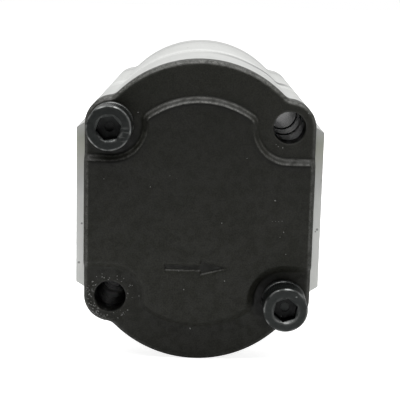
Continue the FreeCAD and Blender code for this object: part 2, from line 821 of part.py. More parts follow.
def make_coupling_disc():
    """Disc with a slot through it that joins the two drive gears' tangs."""
    start = f"-(front_cover_long + {POCKET} + (wall_long - disc_long) / 2)"
    body = new_body("coupling_disc", start)
    sketch = new_sketch(body, "disc_ring")
    add_circle(sketch, DISC)
    grow(body, sketch, "disc_long", "disc")
    slot, reach = "(tang_half + tang_gap)", "(journal + tang_gap)"
    sketch = new_sketch(body, "slot_outline")
    add_polygon(sketch, [(f"-{slot}", f"-{reach}"), (slot, f"-{reach}"),
                         (slot, reach), (f"-{slot}", reach)])
    cut(body, sketch, "slot")
    return body


def make_shaft_key():
    """Half-round key in the shaft's taper."""
    body = new_body("shaft_key")
    sketch = new_sketch(body, "disc_ring", "YZ_Plane", "-key_half")
    add_circle(sketch, "key_disc", KEY_LIFT, f"-{KEY_CENTRE}")
    grow(body, sketch, "2 * key_half", "disc")
    sketch = new_sketch(body, "upper_part", "YZ_Plane", "-(2 * key_half)")
    over = f"({KEY_LIFT} + 2 * key_disc)"
    near, far = f"(2 * key_disc - {KEY_CENTRE})", f"-(2 * key_disc + {KEY_CENTRE})"
    add_polygon(sketch, [(KEY_TOP, far), (over, far), (over, near), (KEY_TOP, near)])
    cut(body, sketch, "flat_top")
    return body


def make_shaft_nut():
    """Hexagon nut on the shaft's thread."""
    body = new_body("shaft_nut", f"({CONE_END} + hub_washer_thick + nut_long)")
    sketch = new_sketch(body, "hexagon")
    corners = [(f"nut_radius * {math.cos(math.radians(60 * step)):.6f}",
                f"nut_radius * {math.sin(math.radians(60 * step)):.6f}") for step in range(6)]
    add_polygon(sketch, corners)
    grow(body, sketch, "nut_long", "prism")
    cut_round(body, "thread", [("0", "0")], "(thread_radius + thread_gap)")
    return body


def make_shaft_seal():
    """Shaft seal: a closed ring pressed into its room, its lip round the shaft."""
    body = new_body("shaft_seal", f"(spigot_long - {SEAL_ROOM} + seal_long)")
    sketch = new_sketch(body, "rings")
    add_circle(sketch, "seal_bore")
    add_circle(sketch, "(journal + lip_gap)")
    grow(body, sketch, "seal_long", "ring")
    return body


def make_seal_ring():
    """Spring ring that keeps the shaft seal in, open at the top."""
    body = new_body("seal_circlip", "(spigot_long - ring_start)")
    sketch = new_sketch(body, "rings")
    add_circle(sketch, RING_GROOVE)
    add_circle(sketch, "(seal_bore - ring_reach)")
    grow(body, sketch, "ring_thick", "ring")
    half = "(ring_opening / 2)"
    sketch = new_sketch(body, "opening")
    beyond = "(2 * seal_bore)"
    add_polygon(sketch, [(f"-{half}", "0"), (half, "0"), (half, beyond),
                         (f"-{half}", beyond)])
    cut(body, sketch, "ring_gap")
    return body


def make_all():
    """Build every piece of the pump and return them in a list."""
    front, rear = "front_cover_long", f"(front_cover_long + {FRONT_BODY})"
    pieces = [make_rear_cover(), make_rear_body(), make_front_body(), make_front_cover()]
    for name, start, room in (("front", front, "front_gear_room"),
                              ("rear", rear, "rear_gear_room")):
        pieces.append(make_block(f"{name}_block_fore", f"-({start} + block_long)", -90))
        pieces.append(make_block(f"{name}_block_aft", f"-({start} + block_long + {room})", 90))
        pieces.append(make_driven_gear(f"{name}_driven_gear", start, room))
    pieces += [make_front_drive_gear(), make_rear_drive_gear(), make_coupling_disc(),
               make_shaft_key(), make_shaft_nut(), make_shaft_seal(), make_seal_ring(),
               make_ring("shaft_washer", "(thread_radius + thread_gap)",
                         "hub_washer_radius", "hub_washer_thick", "0",
                         f"({CONE_END} + hub_washer_thick)", "0"),
               make_sleeves(), make_screws(), make_washers()]
    return pieces


def main():
    """Build the pump, check every object and write one file for each piece."""
    pieces = make_all()
    doc.recompute()
    for item in doc.Objects:
        if {"Invalid", "Error"} & set(item.State):
            raise RuntimeError(f"{item.Label} failed: {item.State}")
    for piece in pieces:
        if piece.Shape.isNull() or not piece.Shape.isValid():
            raise RuntimeError(f"{piece.Label} has no valid shape")
    os.makedirs("parts", exist_ok=True)
    for piece in pieces:
        piece.Shape.exportStep(f"parts/{piece.Label}.step")
        print(f"{piece.Label}: {len(piece.Shape.Solids)} solids, {piece.Shape.Volume:.0f} mm3")


main()
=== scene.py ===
"""Looks of the tandem gear pump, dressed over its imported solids.

Shapes are worked out in millimetres in the pump's own frame: x across, y along the
shaft (the shaft leaves towards +y, the rear cover looks towards -y) and z up. They are
scaled to metres when a mesh is made.
"""

import logging
import math
from collections.abc import Mapping, Sequence
from dataclasses import dataclass, field
from enum import Enum
from functools import reduce
from itertools import product
from typing import Any

import bmesh
import bpy
import numpy as np
from mathutils import Matrix, Vector
from mathutils.geometry import delaunay_2d_cdt

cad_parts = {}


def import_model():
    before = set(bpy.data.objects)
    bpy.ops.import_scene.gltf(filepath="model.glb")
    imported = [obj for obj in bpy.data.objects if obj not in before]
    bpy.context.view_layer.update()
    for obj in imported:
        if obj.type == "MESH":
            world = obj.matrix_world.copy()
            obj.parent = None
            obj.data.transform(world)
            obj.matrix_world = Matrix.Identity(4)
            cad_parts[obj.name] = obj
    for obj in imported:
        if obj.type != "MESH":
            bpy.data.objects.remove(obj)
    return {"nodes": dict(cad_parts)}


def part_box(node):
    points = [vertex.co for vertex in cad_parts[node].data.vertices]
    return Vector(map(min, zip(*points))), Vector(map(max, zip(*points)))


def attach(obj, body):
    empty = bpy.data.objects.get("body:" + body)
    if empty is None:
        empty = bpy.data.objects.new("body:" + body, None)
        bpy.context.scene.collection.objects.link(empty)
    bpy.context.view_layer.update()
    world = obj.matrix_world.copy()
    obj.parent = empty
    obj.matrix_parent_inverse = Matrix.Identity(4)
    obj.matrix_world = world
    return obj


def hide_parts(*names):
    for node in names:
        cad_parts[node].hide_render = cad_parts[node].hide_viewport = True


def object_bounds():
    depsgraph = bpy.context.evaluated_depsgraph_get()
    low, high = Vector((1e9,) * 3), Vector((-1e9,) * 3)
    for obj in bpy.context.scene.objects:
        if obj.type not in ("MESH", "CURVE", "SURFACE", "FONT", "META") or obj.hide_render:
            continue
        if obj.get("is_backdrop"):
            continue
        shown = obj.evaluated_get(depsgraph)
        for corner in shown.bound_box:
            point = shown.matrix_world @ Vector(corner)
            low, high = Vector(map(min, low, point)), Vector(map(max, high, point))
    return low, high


MM = 0.001
CHUNK = 2000  # points whose distances are worked out at a time
WAVES, SWELL = 12, 2.4  # sine waves in a ripple, and what brings their mean to about one
RAGGED = 0.2  # how far the rims of small painted marks wander, in millimetres
WELD = 0.001  # points closer than this are one, in millimetres
WITHIN = 0.995  # share of a hole's radius under which a triangle's middle lies in the hole
RIDGE_FOOT, RIDGE_TOP = 0.46, 0.08  # half widths of a thread's ridge, in pitches
log = logging.getLogger("pump")

Array = np.ndarray
Socket = bpy.types.NodeSocket
Pair = tuple[float, float]
Stops = tuple[Pair, ...]
Colour = tuple[float, float, float, float]


class Body(Enum):
    """The bodies of the pump that a piece can ride on."""

    HOUSING = "housing"
    DRIVE = "drive_shaft"


class Slot(Enum):
    """Material slots; each finish carries one."""

    COVER = "black_cast_cover"
    ALLOY = "body_aluminium"
    BLOCK = "block_alloy"
    RUBBER = "seal_rubber"
    BRIGHT = "bright_steel"
    BLACK = "black_steel"
    SPRING = "spring_steel"
    GEAR = "gear_steel"


class Facing(Enum):
    """The way a turned piece grows along the pump's axis."""

    REAR = -1.0
    FRONT = 1.0


# Paths and profiles


def arc(centre: Pair, radius: float, start: float, end: float, step: float) -> Array:
    """Points along a circular arc, evenly spaced.

    The point at an angle is the centre plus the radius times (cosine, sine).

    Args:
        centre: the circle's centre.
        radius: its radius.
        start: first angle in radians.
        end: last angle; below start for a clockwise arc.
        step: rough distance between two points.

    Returns:
        The points, one row each, both ends among them.
    """
    count = max(3, int(abs(end - start) * radius / step) + 1)
    angle = np.linspace(start, end, count)
    return np.stack([centre[0] + radius * np.cos(angle), centre[1] + radius * np.sin(angle)], 1)


def line(start: Pair, end: Pair, step: float) -> Array:
    """Evenly spaced points from start to end, one row each."""
    count = max(2, int(math.dist(start, end) / step) + 1)
    return np.linspace(start, end, count)


def meet(one: Pair, reach_one: float, other: Pair, reach_other: float) -> Pair:
    """The point at two given distances from two centres.

    Along the line between the centres it lies where both circles' powers are equal, and
    off that line, on the left, by the rest of the first reach.

    Args:
        one: first centre.
        reach_one: distance from it.
        other: second centre.
        reach_other: distance from that.

    Returns:
        The point.
    """
    span = math.dist(one, other)
    along = (reach_one**2 - reach_other**2 + span**2) / (2 * span)
    aside = math.sqrt(reach_one**2 - along**2)
    step = ((other[0] - one[0]) / span, (other[1] - one[1]) / span)
    return (one[0] + along * step[0] - aside * step[1], one[1] + along * step[1] + aside * step[0])


def bearing(centre: Pair, point: Pair) -> float:
    """The angle in radians at which a centre sees a point."""
    return math.atan2(point[1] - centre[1], point[0] - centre[0])


def full_turn(columns: int) -> Array:
    """Evenly spaced angles all round."""
    return np.linspace(0, 2 * np.pi, columns, endpoint=False)


def four_quarters(quarter: Array) -> Array:
    """Mirror the first quarter of an outline into a closed loop, counter-clockwise.

    Args:
        quarter: its points, from the right round to the top.

    Returns:
        The loop's points.
    """
    loop = np.vstack([quarter, quarter[::-1] * (-1, 1), -quarter, quarter[::-1] * (1, -1)])
    gap = np.linalg.norm(np.roll(loop, -1, axis=0) - loop, axis=1)
    return loop[gap > 1e-6]


def rounded(corners: Sequence[tuple[float, float, float]], steps: int = 6) -> Array:
    """An open path through corners, each eased over its own reach.

    Between the points that lie the reach before and after a corner, the path is the
    parabola that has the corner as its middle control point.

    Args:
        corners: rows of (first, second, reach); a reach of zero stays sharp.
        steps: points on each eased corner.

    Returns:
        The path's points, one row each.
    """
    rows = np.array(corners, float)
    share = np.linspace(0, 1, steps)[:, None]
    path = []
    for number, (first, second, reach) in enumerate(rows):
        corner = np.array((first, second))
        if reach == 0:
            path.append(corner[None])
            continue
        before, after = rows[number - 1, :2] - corner, rows[number + 1, :2] - corner
        start = corner + before * reach / np.linalg.norm(before)
        end = corner + after * reach / np.linalg.norm(after)
        path.append((1 - share)**2 * start + 2 * share * (1 - share) * corner + share**2 * end)
    return np.vstack(path)


@dataclass(frozen=True)
class Outline:
    """A closed outline, or the first quarter of one that both axes mirror."""

    path: Array
    mirrored: bool = False

    def loop(self) -> Array:
        """All of the outline's points in order."""
        return four_quarters(self.path) if self.mirrored else self.path

    def depth(self, points: Array) -> Array:
        """How far points lie inside the outline; negative outside it.

        The distance is the least one to any of the outline's straight steps, and a
        point is inside when a ray from it to the right crosses them an odd number of
        times. Points are first folded into the first quarter where that is all there is.

        Args:
            points: rows of two coordinates.

        Returns:
            One distance for each point.
        """
        spots = np.abs(points) if self.mirrored else points
        start, end = self.path, np.roll(self.path, -1, axis=0)
        if self.mirrored:
            start, end = self.path[:-1], self.path[1:]
        step = end - start
        square = (step**2).sum(1)
        rise = np.where(step[:, 1] == 0, 1e-12, step[:, 1])
        parts = []
        for first in range(0, len(spots), CHUNK):
            across, up = spots[first:first + CHUNK, :1], spots[first:first + CHUNK, 1:]
            right, over = across - start[:, 0], up - start[:, 1]
            share = np.clip((right * step[:, 0] + over * step[:, 1]) / square, 0, 1)
            near = (right - share * step[:, 0])**2 + (over - share * step[:, 1])**2
            spans = (start[:, 1] > up) != (end[:, 1] > up)
            crossed = spans & (right < over * step[:, 0] / rise)
            side = np.where(crossed.sum(1) % 2 == 1, 1.0, -1.0)
            parts.append(side * np.sqrt(near.min(1)))
        return np.concatenate(parts)


def soft_ramp(distance: Array, run: float, ease: float) -> Array:
    """A ramp from 0 to 1 over a run, with both of its corners eased.

    It is the plain ramp averaged over a window as wide as the ease, so each corner
    becomes a parabola.

    Args:
        distance: where to read the ramp.
        run: how far the plain ramp takes from 0 to 1.
        ease: width of the window.

    Returns:
        The ramp's height for each distance.
    """

    def area(reach: Array) -> Array:
        """Area under the plain ramp up to a reach."""
        inner = np.clip(reach, 0, run)
        return inner**2 / (2 * run) + np.maximum(reach - run, 0)

    return (area(distance + ease / 2) - area(distance - ease / 2)) / ease


def ripple(points: Array, wave: float, seed: int) -> Array:
    """Smooth unevenness between about -1 and 1, the same on each run.

    It is the mean of a dozen sine waves that cross the points in mixed directions, with
    lengths from the given one to three times as long.

    Args:
        points: rows of two or three coordinates.
        wave: shortest wave length.
        seed: picks the directions, lengths and phases.

    Returns:
        One value for each point.
    """
    random = np.random.default_rng(seed)
    ways = random.normal(size=(WAVES, points.shape[1]))
    length = wave * random.uniform(1, 3, WAVES)
    ways *= (2 * np.pi / length / np.linalg.norm(ways, axis=1))[:, None]
    phase = random.uniform(0, 2 * np.pi, WAVES)
    return np.sin(points @ ways.T + phase).mean(1) * SWELL


# Surfaces


@dataclass
class Patch:
    """A surface being made: points in millimetres, and faces as rows of indices."""

    points: Array
    faces: list[Array]

    @staticmethod
    def grid(points: Array, closed: bool = True) -> "Patch":
        """Join a grid of points by four-sided faces.

        Args:
            points: rows by columns by three coordinates.
            closed: the last column joins the first.

        Returns:
            The surface.
        """
        rows, columns = points.shape[:2]
        near = np.arange(rows * columns).reshape(rows, columns)
        far = np.roll(near, -1, axis=1)
        if not closed:
            near, far = near[:, :-1], far[:, :-1]
        quads = np.stack([near[:-1], far[:-1], far[1:], near[1:]], -1).reshape(-1, 4)
        return Patch(points.reshape(-1, 3), [quads])

    def __add__(self, other: "Patch") -> "Patch":
        """Both surfaces as one."""
        moved = [rows + len(self.points) for rows in other.faces]
        return Patch(np.vstack([self.points, other.points]), self.faces + moved)


def turned(rows: Sequence[tuple[Array | float, Array | float]], centre: Pair, start: float,
           facing: Facing, columns: int) -> Patch:
    """Carry a profile round an axis that runs along the pump.

    A point at an angle is the centre plus its radius times (cosine, sine), and it lies
    at the start plus or minus its length along the axis.

    Args:
        rows: the profile, rows of (radius, length), each one number or one per column.
        centre: the axis, across and up.
        start: where the profile's zero lies along the pump.
        facing: the way that lengths grow.
        columns: steps round the axis.

    Returns:
        The surface; a radius of zero at either end closes it.
    """
    angle = full_turn(columns)
    wide, deep = (np.stack([np.broadcast_to(row[part], columns) for row in rows])
                  for part in range(2))
    return Patch.grid(np.stack([centre[0] + wide * np.cos(angle), start + facing.value * deep,
                                centre[1] + wide * np.sin(angle)], -1))


def hexagon(angle: Array, flat: float, corner: float) -> Array:
    """A hexagon's radius: half its width over the cosine off the nearest flat's middle."""
    return flat / np.cos((angle - corner) % (np.pi / 3) - np.pi / 6)


def thread(base: float, crest: float, pitch: float, length: float,
           centre: tuple[float, float, float], axis: Array, steps: int) -> Patch:
    """Carry a thread's ridge along a helix.

    The ridge's section is a trapezium whose foot is on the base radius and whose top is
    on the crest radius. It shrinks to nothing over the first and the last half turn.

    Args:
        base: radius that the ridge stands on.
        crest: radius of its top, above or below the base.
        pitch: way along the axis in one turn.
        length: way along the axis in all.
        centre: start of the axis.
        axis: unit direction of the axis.
        steps: points for each turn.

    Returns:
        The closed ridge.
    """
    turns = length / pitch - 1
    turn = np.linspace(0, turns, int(turns * steps) + 1)
    grow = np.clip(np.minimum(turn, turns - turn) * 2, 0, 1)
    section = np.array([(-RIDGE_FOOT, 0), (-RIDGE_TOP, 1), (RIDGE_TOP, 1), (RIDGE_FOOT, 0)])
    radius = base + (crest - base) * section[:, 1:] * grow
    along = pitch * (0.5 + turn + section[:, :1] * grow)
    side = np.cross(axis, (0.31, 0.59, 0.74))
    side /= np.linalg.norm(side)
    other = np.cross(axis, side)
    angle = 2 * np.pi * turn
    wheel = np.cos(angle)[:, None] * side + np.sin(angle)[:, None] * other
    points = np.array(centre) + radius[..., None] * wheel + along[..., None] * axis
    return Patch.grid(points.transpose(1, 0, 2))


def flat_net(loops: Sequence[Array], holes: Sequence[tuple[Pair, float]],
             inner: Array) -> tuple[Array, Array]:
    """Fill the space between an outer loop and round holes with a net of triangles.

    It is the constrained Delaunay net over all the points. Triangles whose middle is in
    a hole are left out, and so are those between three points of the outer loop whose
    middle is outside it.

    Args:
        loops: the outer loop, and then the rim of each hole.
        holes: centre and radius of each hole.
        inner: free points between the loops.

    Returns:
        The net's points, rows of two, and its triangles.
    """
    edges, first = [], 0
    for loop in loops:
        index = np.arange(first, first + len(loop))
        edges.append(np.stack([index, np.roll(index, -1)], 1))
        first += len(loop)
    points = np.vstack([*loops, inner])
    made = delaunay_2d_cdt([Vector(row) for row in points.tolist()],
                           np.vstack(edges).tolist(), [], 0, 1e-5, False)
    net, faces = np.array([tuple(spot) for spot in made[0]]), np.array(made[2])
    middle = net[faces].mean(1)
    keep = np.ones(len(faces), bool)
    bridge = (faces < len(loops[0])).all(1)
    keep[bridge] = Outline(loops[0]).depth(middle[bridge]) > 0
    for centre, radius in holes:
        keep &= np.hypot(*(middle - centre).T) > radius * WITHIN
    return net, faces[keep]


def spots_of(mesh: bpy.types.Mesh) -> Array:
    """A mesh's vertices.

    Args:
        mesh: the mesh.

    Returns:
        One row each, in millimetres.
    """
    spots = np.empty(len(mesh.vertices) * 3)
    mesh.vertices.foreach_get("co", spots)
    return spots.reshape(-1, 3) / MM


def soften(mesh: bpy.types.Mesh, corner: float) -> None:
    """Shade a mesh smooth; edges above an angle in degrees stay sharp."""
    mesh.polygons.foreach_set("use_smooth", np.ones(len(mesh.polygons), bool))
    mesh.set_sharp_from_angle(angle=math.radians(corner))


def make_mesh(name: str, patch: Patch, corner: float) -> bpy.types.Mesh:
    """Write a surface into a mesh, close its seams and turn its faces outwards.

    Args:
        name: the mesh's name.
        patch: the surface, in millimetres.
        corner: edges above this angle in degrees stay sharp.

    Returns:
        The mesh, in metres.
    """
    mesh = bpy.data.meshes.new(name)
    mesh.vertices.add(len(patch.points))
    mesh.vertices.foreach_set("co", (patch.points * MM).astype(np.float32).ravel())
    sizes = np.concatenate([np.full(len(rows), rows.shape[1]) for rows in patch.faces])
    mesh.loops.add(int(sizes.sum()))
    mesh.loops.foreach_set("vertex_index", np.concatenate([rows.ravel() for rows in patch.faces]))
    mesh.polygons.add(len(sizes))
    mesh.polygons.foreach_set("loop_start", np.concatenate([[0], sizes.cumsum()[:-1]]))
    mesh.update(calc_edges=True)
    mesh.validate()
    tidy = bmesh.new()
    tidy.from_mesh(mesh)
    bmesh.ops.remove_doubles(tidy, verts=tidy.verts, dist=WELD * MM)
    bmesh.ops.dissolve_degenerate(tidy, edges=tidy.edges, dist=WELD / 2 * MM)
    bmesh.ops.recalc_face_normals(tidy, faces=tidy.faces)
    tidy.to_mesh(mesh)
    tidy.free()
    soften(mesh, corner)
    return mesh


def put(name: str, data: bpy.types.ID) -> bpy.types.Object:
    """Put a new object into the scene.

    Args:
        name: its name.
        data: what it shows.

    Returns:
        The object.
    """
    made = bpy.data.objects.new(name, data)
    bpy.context.scene.collection.objects.link(made)
    return made


# Shader graphs


def grey(level: float) -> Colour:
    """A neutral colour."""
    return (level, level, level, 1.0)


class Graph:
    """Adds shader nodes to one tree and links them."""

    def __init__(self, tree: bpy.types.NodeTree) -> None:
        """Start on a tree."""
        self.tree = tree

    @classmethod
    def blank(cls, owner: bpy.types.Material | bpy.types.World) -> "Graph":
        """Give a material or a world an empty tree.

        Args:
            owner: the material or world.

        Returns:
            The graph on its tree.
        """
        owner.use_nodes = True
        owner.node_tree.nodes.clear()
        return cls(owner.node_tree)

    def feed(self, node: bpy.types.Node, inputs: Mapping[str | int, Any]) -> None:
        """Feed a node's inputs.

        Args:
            node: the node.
            inputs: input name or number to a socket, which is linked, or a plain value.
        """
        for key, given in inputs.items():
            if isinstance(given, Socket):
                self.tree.links.new(given, node.inputs[key])
            else:
                node.inputs[key].default_value = given

    def add(self, kind: str, inputs: Mapping[str | int, Any] | None = None,
            **settings: Any) -> Any:
        """Add a node, set it up and feed its inputs.

        Args:
            kind: the node's type.
            inputs: what feed takes.
            settings: the node's own properties.

        Returns:
            The node's outputs.
        """
        node = self.tree.nodes.new(kind)
        for key, setting in settings.items():
            setattr(node, key, setting)
        self.feed(node, inputs or {})
        return node.outputs

    def math(self, operation: str, *values: Socket | float) -> Socket:
        """Work out one number from others."""
        return self.add("ShaderNodeMath", dict(enumerate(values)), operation=operation)[0]

    def times(self, *factors: Socket | float) -> Socket:
        """The product of two or more numbers."""
        return reduce(lambda one, other: self.math("MULTIPLY", one, other), factors)

    def most(self, *values: Socket | float) -> Socket:
        """The highest of one or more numbers."""
        return reduce(lambda one, other: self.math("MAXIMUM", one, other), values)

    def vector(self, operation: str, *values: Any) -> Any:
        """Work out a vector and a number, the node's two outputs, from vectors."""
        return self.add("ShaderNodeVectorMath", dict(enumerate(values)), operation=operation)

    def parts(self, vector: Socket) -> Any:
        """A vector's three parts."""
        return self.add("ShaderNodeSeparateXYZ", {0: vector})

    def kept(self, name: str) -> Socket:
        """An attribute of the mesh."""
        return self.add("ShaderNodeAttribute", attribute_name=name)["Fac"]

    def remap(self, number: Socket, low: float | Socket, high: float | Socket,
              start: float | Socket = 0.0, end: float = 1.0) -> Socket:
        """Carry a number smoothly from start to end as it goes from low to high."""
        return self.add("ShaderNodeMapRange", {
            "Value": number, "From Min": low, "From Max": high, "To Min": start, "To Max": end,
        }, interpolation_type="SMOOTHSTEP")["Result"]

    def between(self, place: Socket, span: Pair, start: float = 0.0, end: float = 1.0) -> Socket:
        """Remap over a span that is given in millimetres."""
        return self.remap(place, span[0] * MM, span[1] * MM, start, end)

    def blend(self, share: Socket | float, one: Any, other: Any, kind: str = "MIX") -> Socket:
        """Mix two colours by a share."""
        return self.add("ShaderNodeMix", {0: share, 6: one, 7: other}, data_type="RGBA",
                        blend_type=kind)[2]

    def tint(self, colour: Any, by: Any) -> Socket:
        """A colour multiplied by another."""
        return self.blend(1.0, colour, by, "MULTIPLY")

    def noise(self, vector: Socket, scale: float | Socket, detail: float = 3.0,
              distortion: float = 0.0) -> Socket:
        """Cloudy noise between 0 and 1."""
        return self.add("ShaderNodeTexNoise", {
            "Vector": vector, "Scale": scale, "Detail": detail, "Distortion": distortion})[0]

    def place(self, vector: Socket, scale: tuple[float, float, float] = (1, 1, 1),
              turn: tuple[float, float, float] = (0, 0, 0),
              shift: tuple[float, float, float] = (0, 0, 0)) -> Socket:
        """Shift, turn and stretch a pattern's coordinates."""
        return self.add("ShaderNodeMapping", {
            "Vector": vector, "Location": shift, "Rotation": turn, "Scale": scale})[0]

    def ramp(self, number: Socket, stops: Sequence[tuple[float, Any]]) -> Socket:
        """A colour read off stops, with straight steps between them.

        Args:
            number: where to read, in metres.
            stops: rows of (millimetres, colour or grey level).

        Returns:
            The colour.
        """
        low, high = stops[0][0], stops[-1][0]
        share = self.add("ShaderNodeMapRange", {
            "Value": number, "From Min": low * MM, "From Max": high * MM})["Result"]
        node = self.tree.nodes.new("ShaderNodeValToRGB")
        self.feed(node, {0: share})
        for at, _ in stops[1:-1]:
            node.color_ramp.elements.new((at - low) / (high - low))
        for element, (_, tone) in zip(node.color_ramp.elements, stops):
            element.color = tone if isinstance(tone, tuple) else grey(tone)
        return node.outputs["Color"]

    def spots(self, vector: Socket, places: Sequence[tuple[float, float, float]]) -> Socket:
        """Mask of small ragged marks.

        Args:
            vector: object coordinates.
            places: rows of (across, up, radius) in millimetres.

        Returns:
            One inside the marks and zero elsewhere.
        """
        ragged = self.add("ShaderNodeTexNoise", {"Vector": vector, "Scale": 2400.0})["Color"]
        moved = self.vector("MULTIPLY_ADD", ragged, (RAGGED * MM,) * 3, vector)[0]
        flat = self.place(moved, (1, 0, 1))
        masks = []
        for across, up, radius in places:
            away = self.vector("DISTANCE", flat, (across * MM, 0, up * MM))["Value"]
            masks.append(self.between(away, (radius, radius * 0.5)))
        return self.most(*masks)

    def group(self, effect: "Effect", vector: Socket, **numbers: Socket | float) -> Any:
        """Place a shared effect with numbers of its own; gives its outputs."""
        return self.add("ShaderNodeGroup", {"Vector": vector, **numbers}, node_tree=effect.tree())


@dataclass(frozen=True)
class Effect:
    """An effect that several finishes share, built once as a node group."""

    name: str
    inputs: tuple[str, ...]
    outputs: tuple[str, ...]

    def wire(self, graph: Graph, given: Any) -> dict[str, Socket]:
        """Build the effect's nodes.

        Args:
            graph: the group's graph.
            given: the sockets of the group's inputs, by name.

        Returns:
            The socket for each output.
        """
        raise NotImplementedError

    def tree(self) -> bpy.types.NodeTree:
        """The group's tree, built at its first use.

        Returns:
            The tree, with the effect's inputs and outputs by name.
        """
        known = bpy.data.node_groups.get(self.name)
        if known:
            return known
        tree = bpy.data.node_groups.new(self.name, "ShaderNodeTree")
        tree.interface.new_socket("Vector", in_out="INPUT", socket_type="NodeSocketVector")
        for way, labels in (("INPUT", self.inputs), ("OUTPUT", self.outputs)):
            for label in labels:
                tree.interface.new_socket(label, in_out=way, socket_type="NodeSocketFloat")
        graph = Graph(tree)
        graph.add("NodeGroupOutput", self.wire(graph, graph.add("NodeGroupInput")))
        return tree


class Grain(Effect):
    """Uneven skin: a fine height, and slow patches of tone."""

    def wire(self, graph: Graph, given: Any) -> dict[str, Socket]:
        """Sum two sizes of noise for the height, and read a slow one for the tone.

        Args:
            graph: the group's graph.
            given: the group's inputs.

        Returns:
            The socket for each output.
        """
        vector, scale = given["Vector"], given["Scale"]
        fine = graph.noise(vector, scale, 4.0)
        coarse = graph.noise(vector, graph.times(scale, 0.28), 3.0, 0.4)
        slow = graph.noise(vector, graph.times(scale, 0.035), 2.0)
        return {"Height": graph.math("ADD", graph.times(fine, 0.45), graph.times(coarse, 0.55)),
                "Tone": graph.remap(slow, 0.3, 0.7), "Mottle": graph.remap(coarse, 0.32, 0.68)}


class Specks(Effect):
    """Scattered small marks with ragged edges."""

    def wire(self, graph: Graph, given: Any) -> dict[str, Socket]:
        """Take the cells of a Voronoi pattern that a random share picks, near their middle.

        Args:
            graph: the group's graph.
            given: the group's inputs.

        Returns:
            The socket for each output.
        """
        vector, scale = given["Vector"], given["Scale"]
        ragged = graph.add("ShaderNodeTexNoise", {
            "Vector": vector, "Scale": graph.times(scale, 1.7), "Detail": 2.0})["Color"]
        moved = graph.add("ShaderNodeVectorMath", {
            0: ragged, "Scale": graph.math("DIVIDE", 0.9, scale)}, operation="SCALE")[0]
        spot = graph.vector("ADD", vector, moved)[0]
        cells = graph.add("ShaderNodeTexVoronoi", {"Vector": spot, "Scale": scale})
        pick = graph.add("ShaderNodeSeparateColor", {0: cells["Color"]})
        size = graph.times(pick[1], given["Size"])
        mask = graph.remap(graph.math("SUBTRACT", size, cells["Distance"]), 0.0, 0.09)
        return {"Mask": graph.times(mask, graph.math("LESS_THAN", pick[0], given["Share"]))}


class Scratches(Effect):
    """Sparse fine scratches, mostly one way."""

    def wire(self, graph: Graph, given: Any) -> dict[str, Socket]:
        """Thin the long cells of two stretched Voronoi patterns down to lines.

        Args:
            graph: the group's graph.
            given: the group's inputs.

        Returns:
            The socket for each output.
        """
        masks = []
        for turn, stretch in (((0, 0.12, 0.3), (0.06, 0.3, 1.0)), ((0.4, -0.5, 0), (1.0, 0.4, 0.09))):
            spot = graph.place(given["Vector"], stretch, turn)
            cells = graph.add("ShaderNodeTexVoronoi", {"Vector": spot, "Scale": given["Scale"]})
            pick = graph.add("ShaderNodeSeparateColor", {0: cells["Color"]})[0]
            chosen = graph.math("LESS_THAN", pick, given["Share"])
            masks.append(graph.times(graph.remap(cells["Distance"], 0.10, 0.03), chosen))
        return {"Mask": graph.most(*masks)}


class EdgeWearAndHighlight(Effect):
    """Where a surface turns a corner, broken up by noise: edges rubbed bright and painted as a
    highlight.
    """

    def wire(self, graph: Graph, given: Any) -> dict[str, Socket]:
        """Compare the surface's normal with the one of a bevelled copy of its corners.

        Args:
            graph: the group's graph.
            given: the group's inputs.

        Returns:
            The socket for each output.
        """
        soft = graph.add("ShaderNodeBevel", {"Radius": given["Reach"]}, samples=4)[0]
        true = graph.add("ShaderNodeNewGeometry")["Normal"]
        turn = graph.remap(graph.vector("DOT_PRODUCT", soft, true)["Value"], 0.995, 0.80)
        patchy = graph.remap(graph.noise(given["Vector"], 420.0, 4.0), 0.38, 0.62, 0.25, 1.0)
        return {"Mask": graph.times(turn, patchy)}


class ToolMarks(Effect):
    """Fine lines that a tool leaves: rings round the pump's axis, or straight rows."""

    def wire(self, graph: Graph, given: Any) -> dict[str, Socket]:
        """Read noise along the radius from the shaft's axis for rings, and across for rows.

        Args:
            graph: the group's graph.
            given: the group's inputs.

        Returns:
            The socket for each output.
        """
        radius = graph.vector("LENGTH", graph.place(given["Vector"], (1, 0, 1)))["Value"]
        rings = graph.add("ShaderNodeTexNoise", {
            "W": radius, "Scale": given["Scale"], "Detail": 3.0}, noise_dimensions="1D")[0]
        rows = graph.noise(graph.place(given["Vector"], (1.0, 0.02, 0.02)), given["Scale"], 3.0)
        return {"Rings": rings, "Rows": rows}


class BoltBores(Effect):
    """Where a surface lies inside one of the four bolt holes."""

    def wire(self, graph: Graph, given: Any) -> dict[str, Socket]:
        """Fold the four holes onto one, and compare the way out from it with the reach.

        Args:
            graph: the group's graph.
            given: the group's inputs.

        Returns:
            The socket for each output.
        """
        place = graph.parts(given["Vector"])
        rise = graph.math("SUBTRACT", place[2], given["Middle"])
        flat = graph.add("ShaderNodeCombineXYZ", {
            number: graph.math("SUBTRACT", graph.math("ABSOLUTE", way), given["Half"])
            for number, way in enumerate((place[0], rise))})[0]
        rim = graph.math("SUBTRACT", given["Reach"], 0.15 * MM)
        return {"Mask": graph.remap(graph.vector("LENGTH", flat)["Value"], given["Reach"], rim)}


GRAIN = Grain("skin_grain", ("Scale",), ("Height", "Tone", "Mottle"))
SPECKS = Specks("scattered_specks", ("Scale", "Share", "Size"), ("Mask",))
SCRATCHES = Scratches("fine_scratches", ("Scale", "Share"), ("Mask",))
EDGE_WEAR_AND_HIGHLIGHT = EdgeWearAndHighlight("edge_wear_and_highlight", ("Reach",), ("Mask",))
TOOL_MARKS = ToolMarks("tool_marks", ("Scale",), ("Rings", "Rows"))
BOLT_BORES = BoltBores("bolt_bores", ("Half", "Middle", "Reach"), ("Mask",))


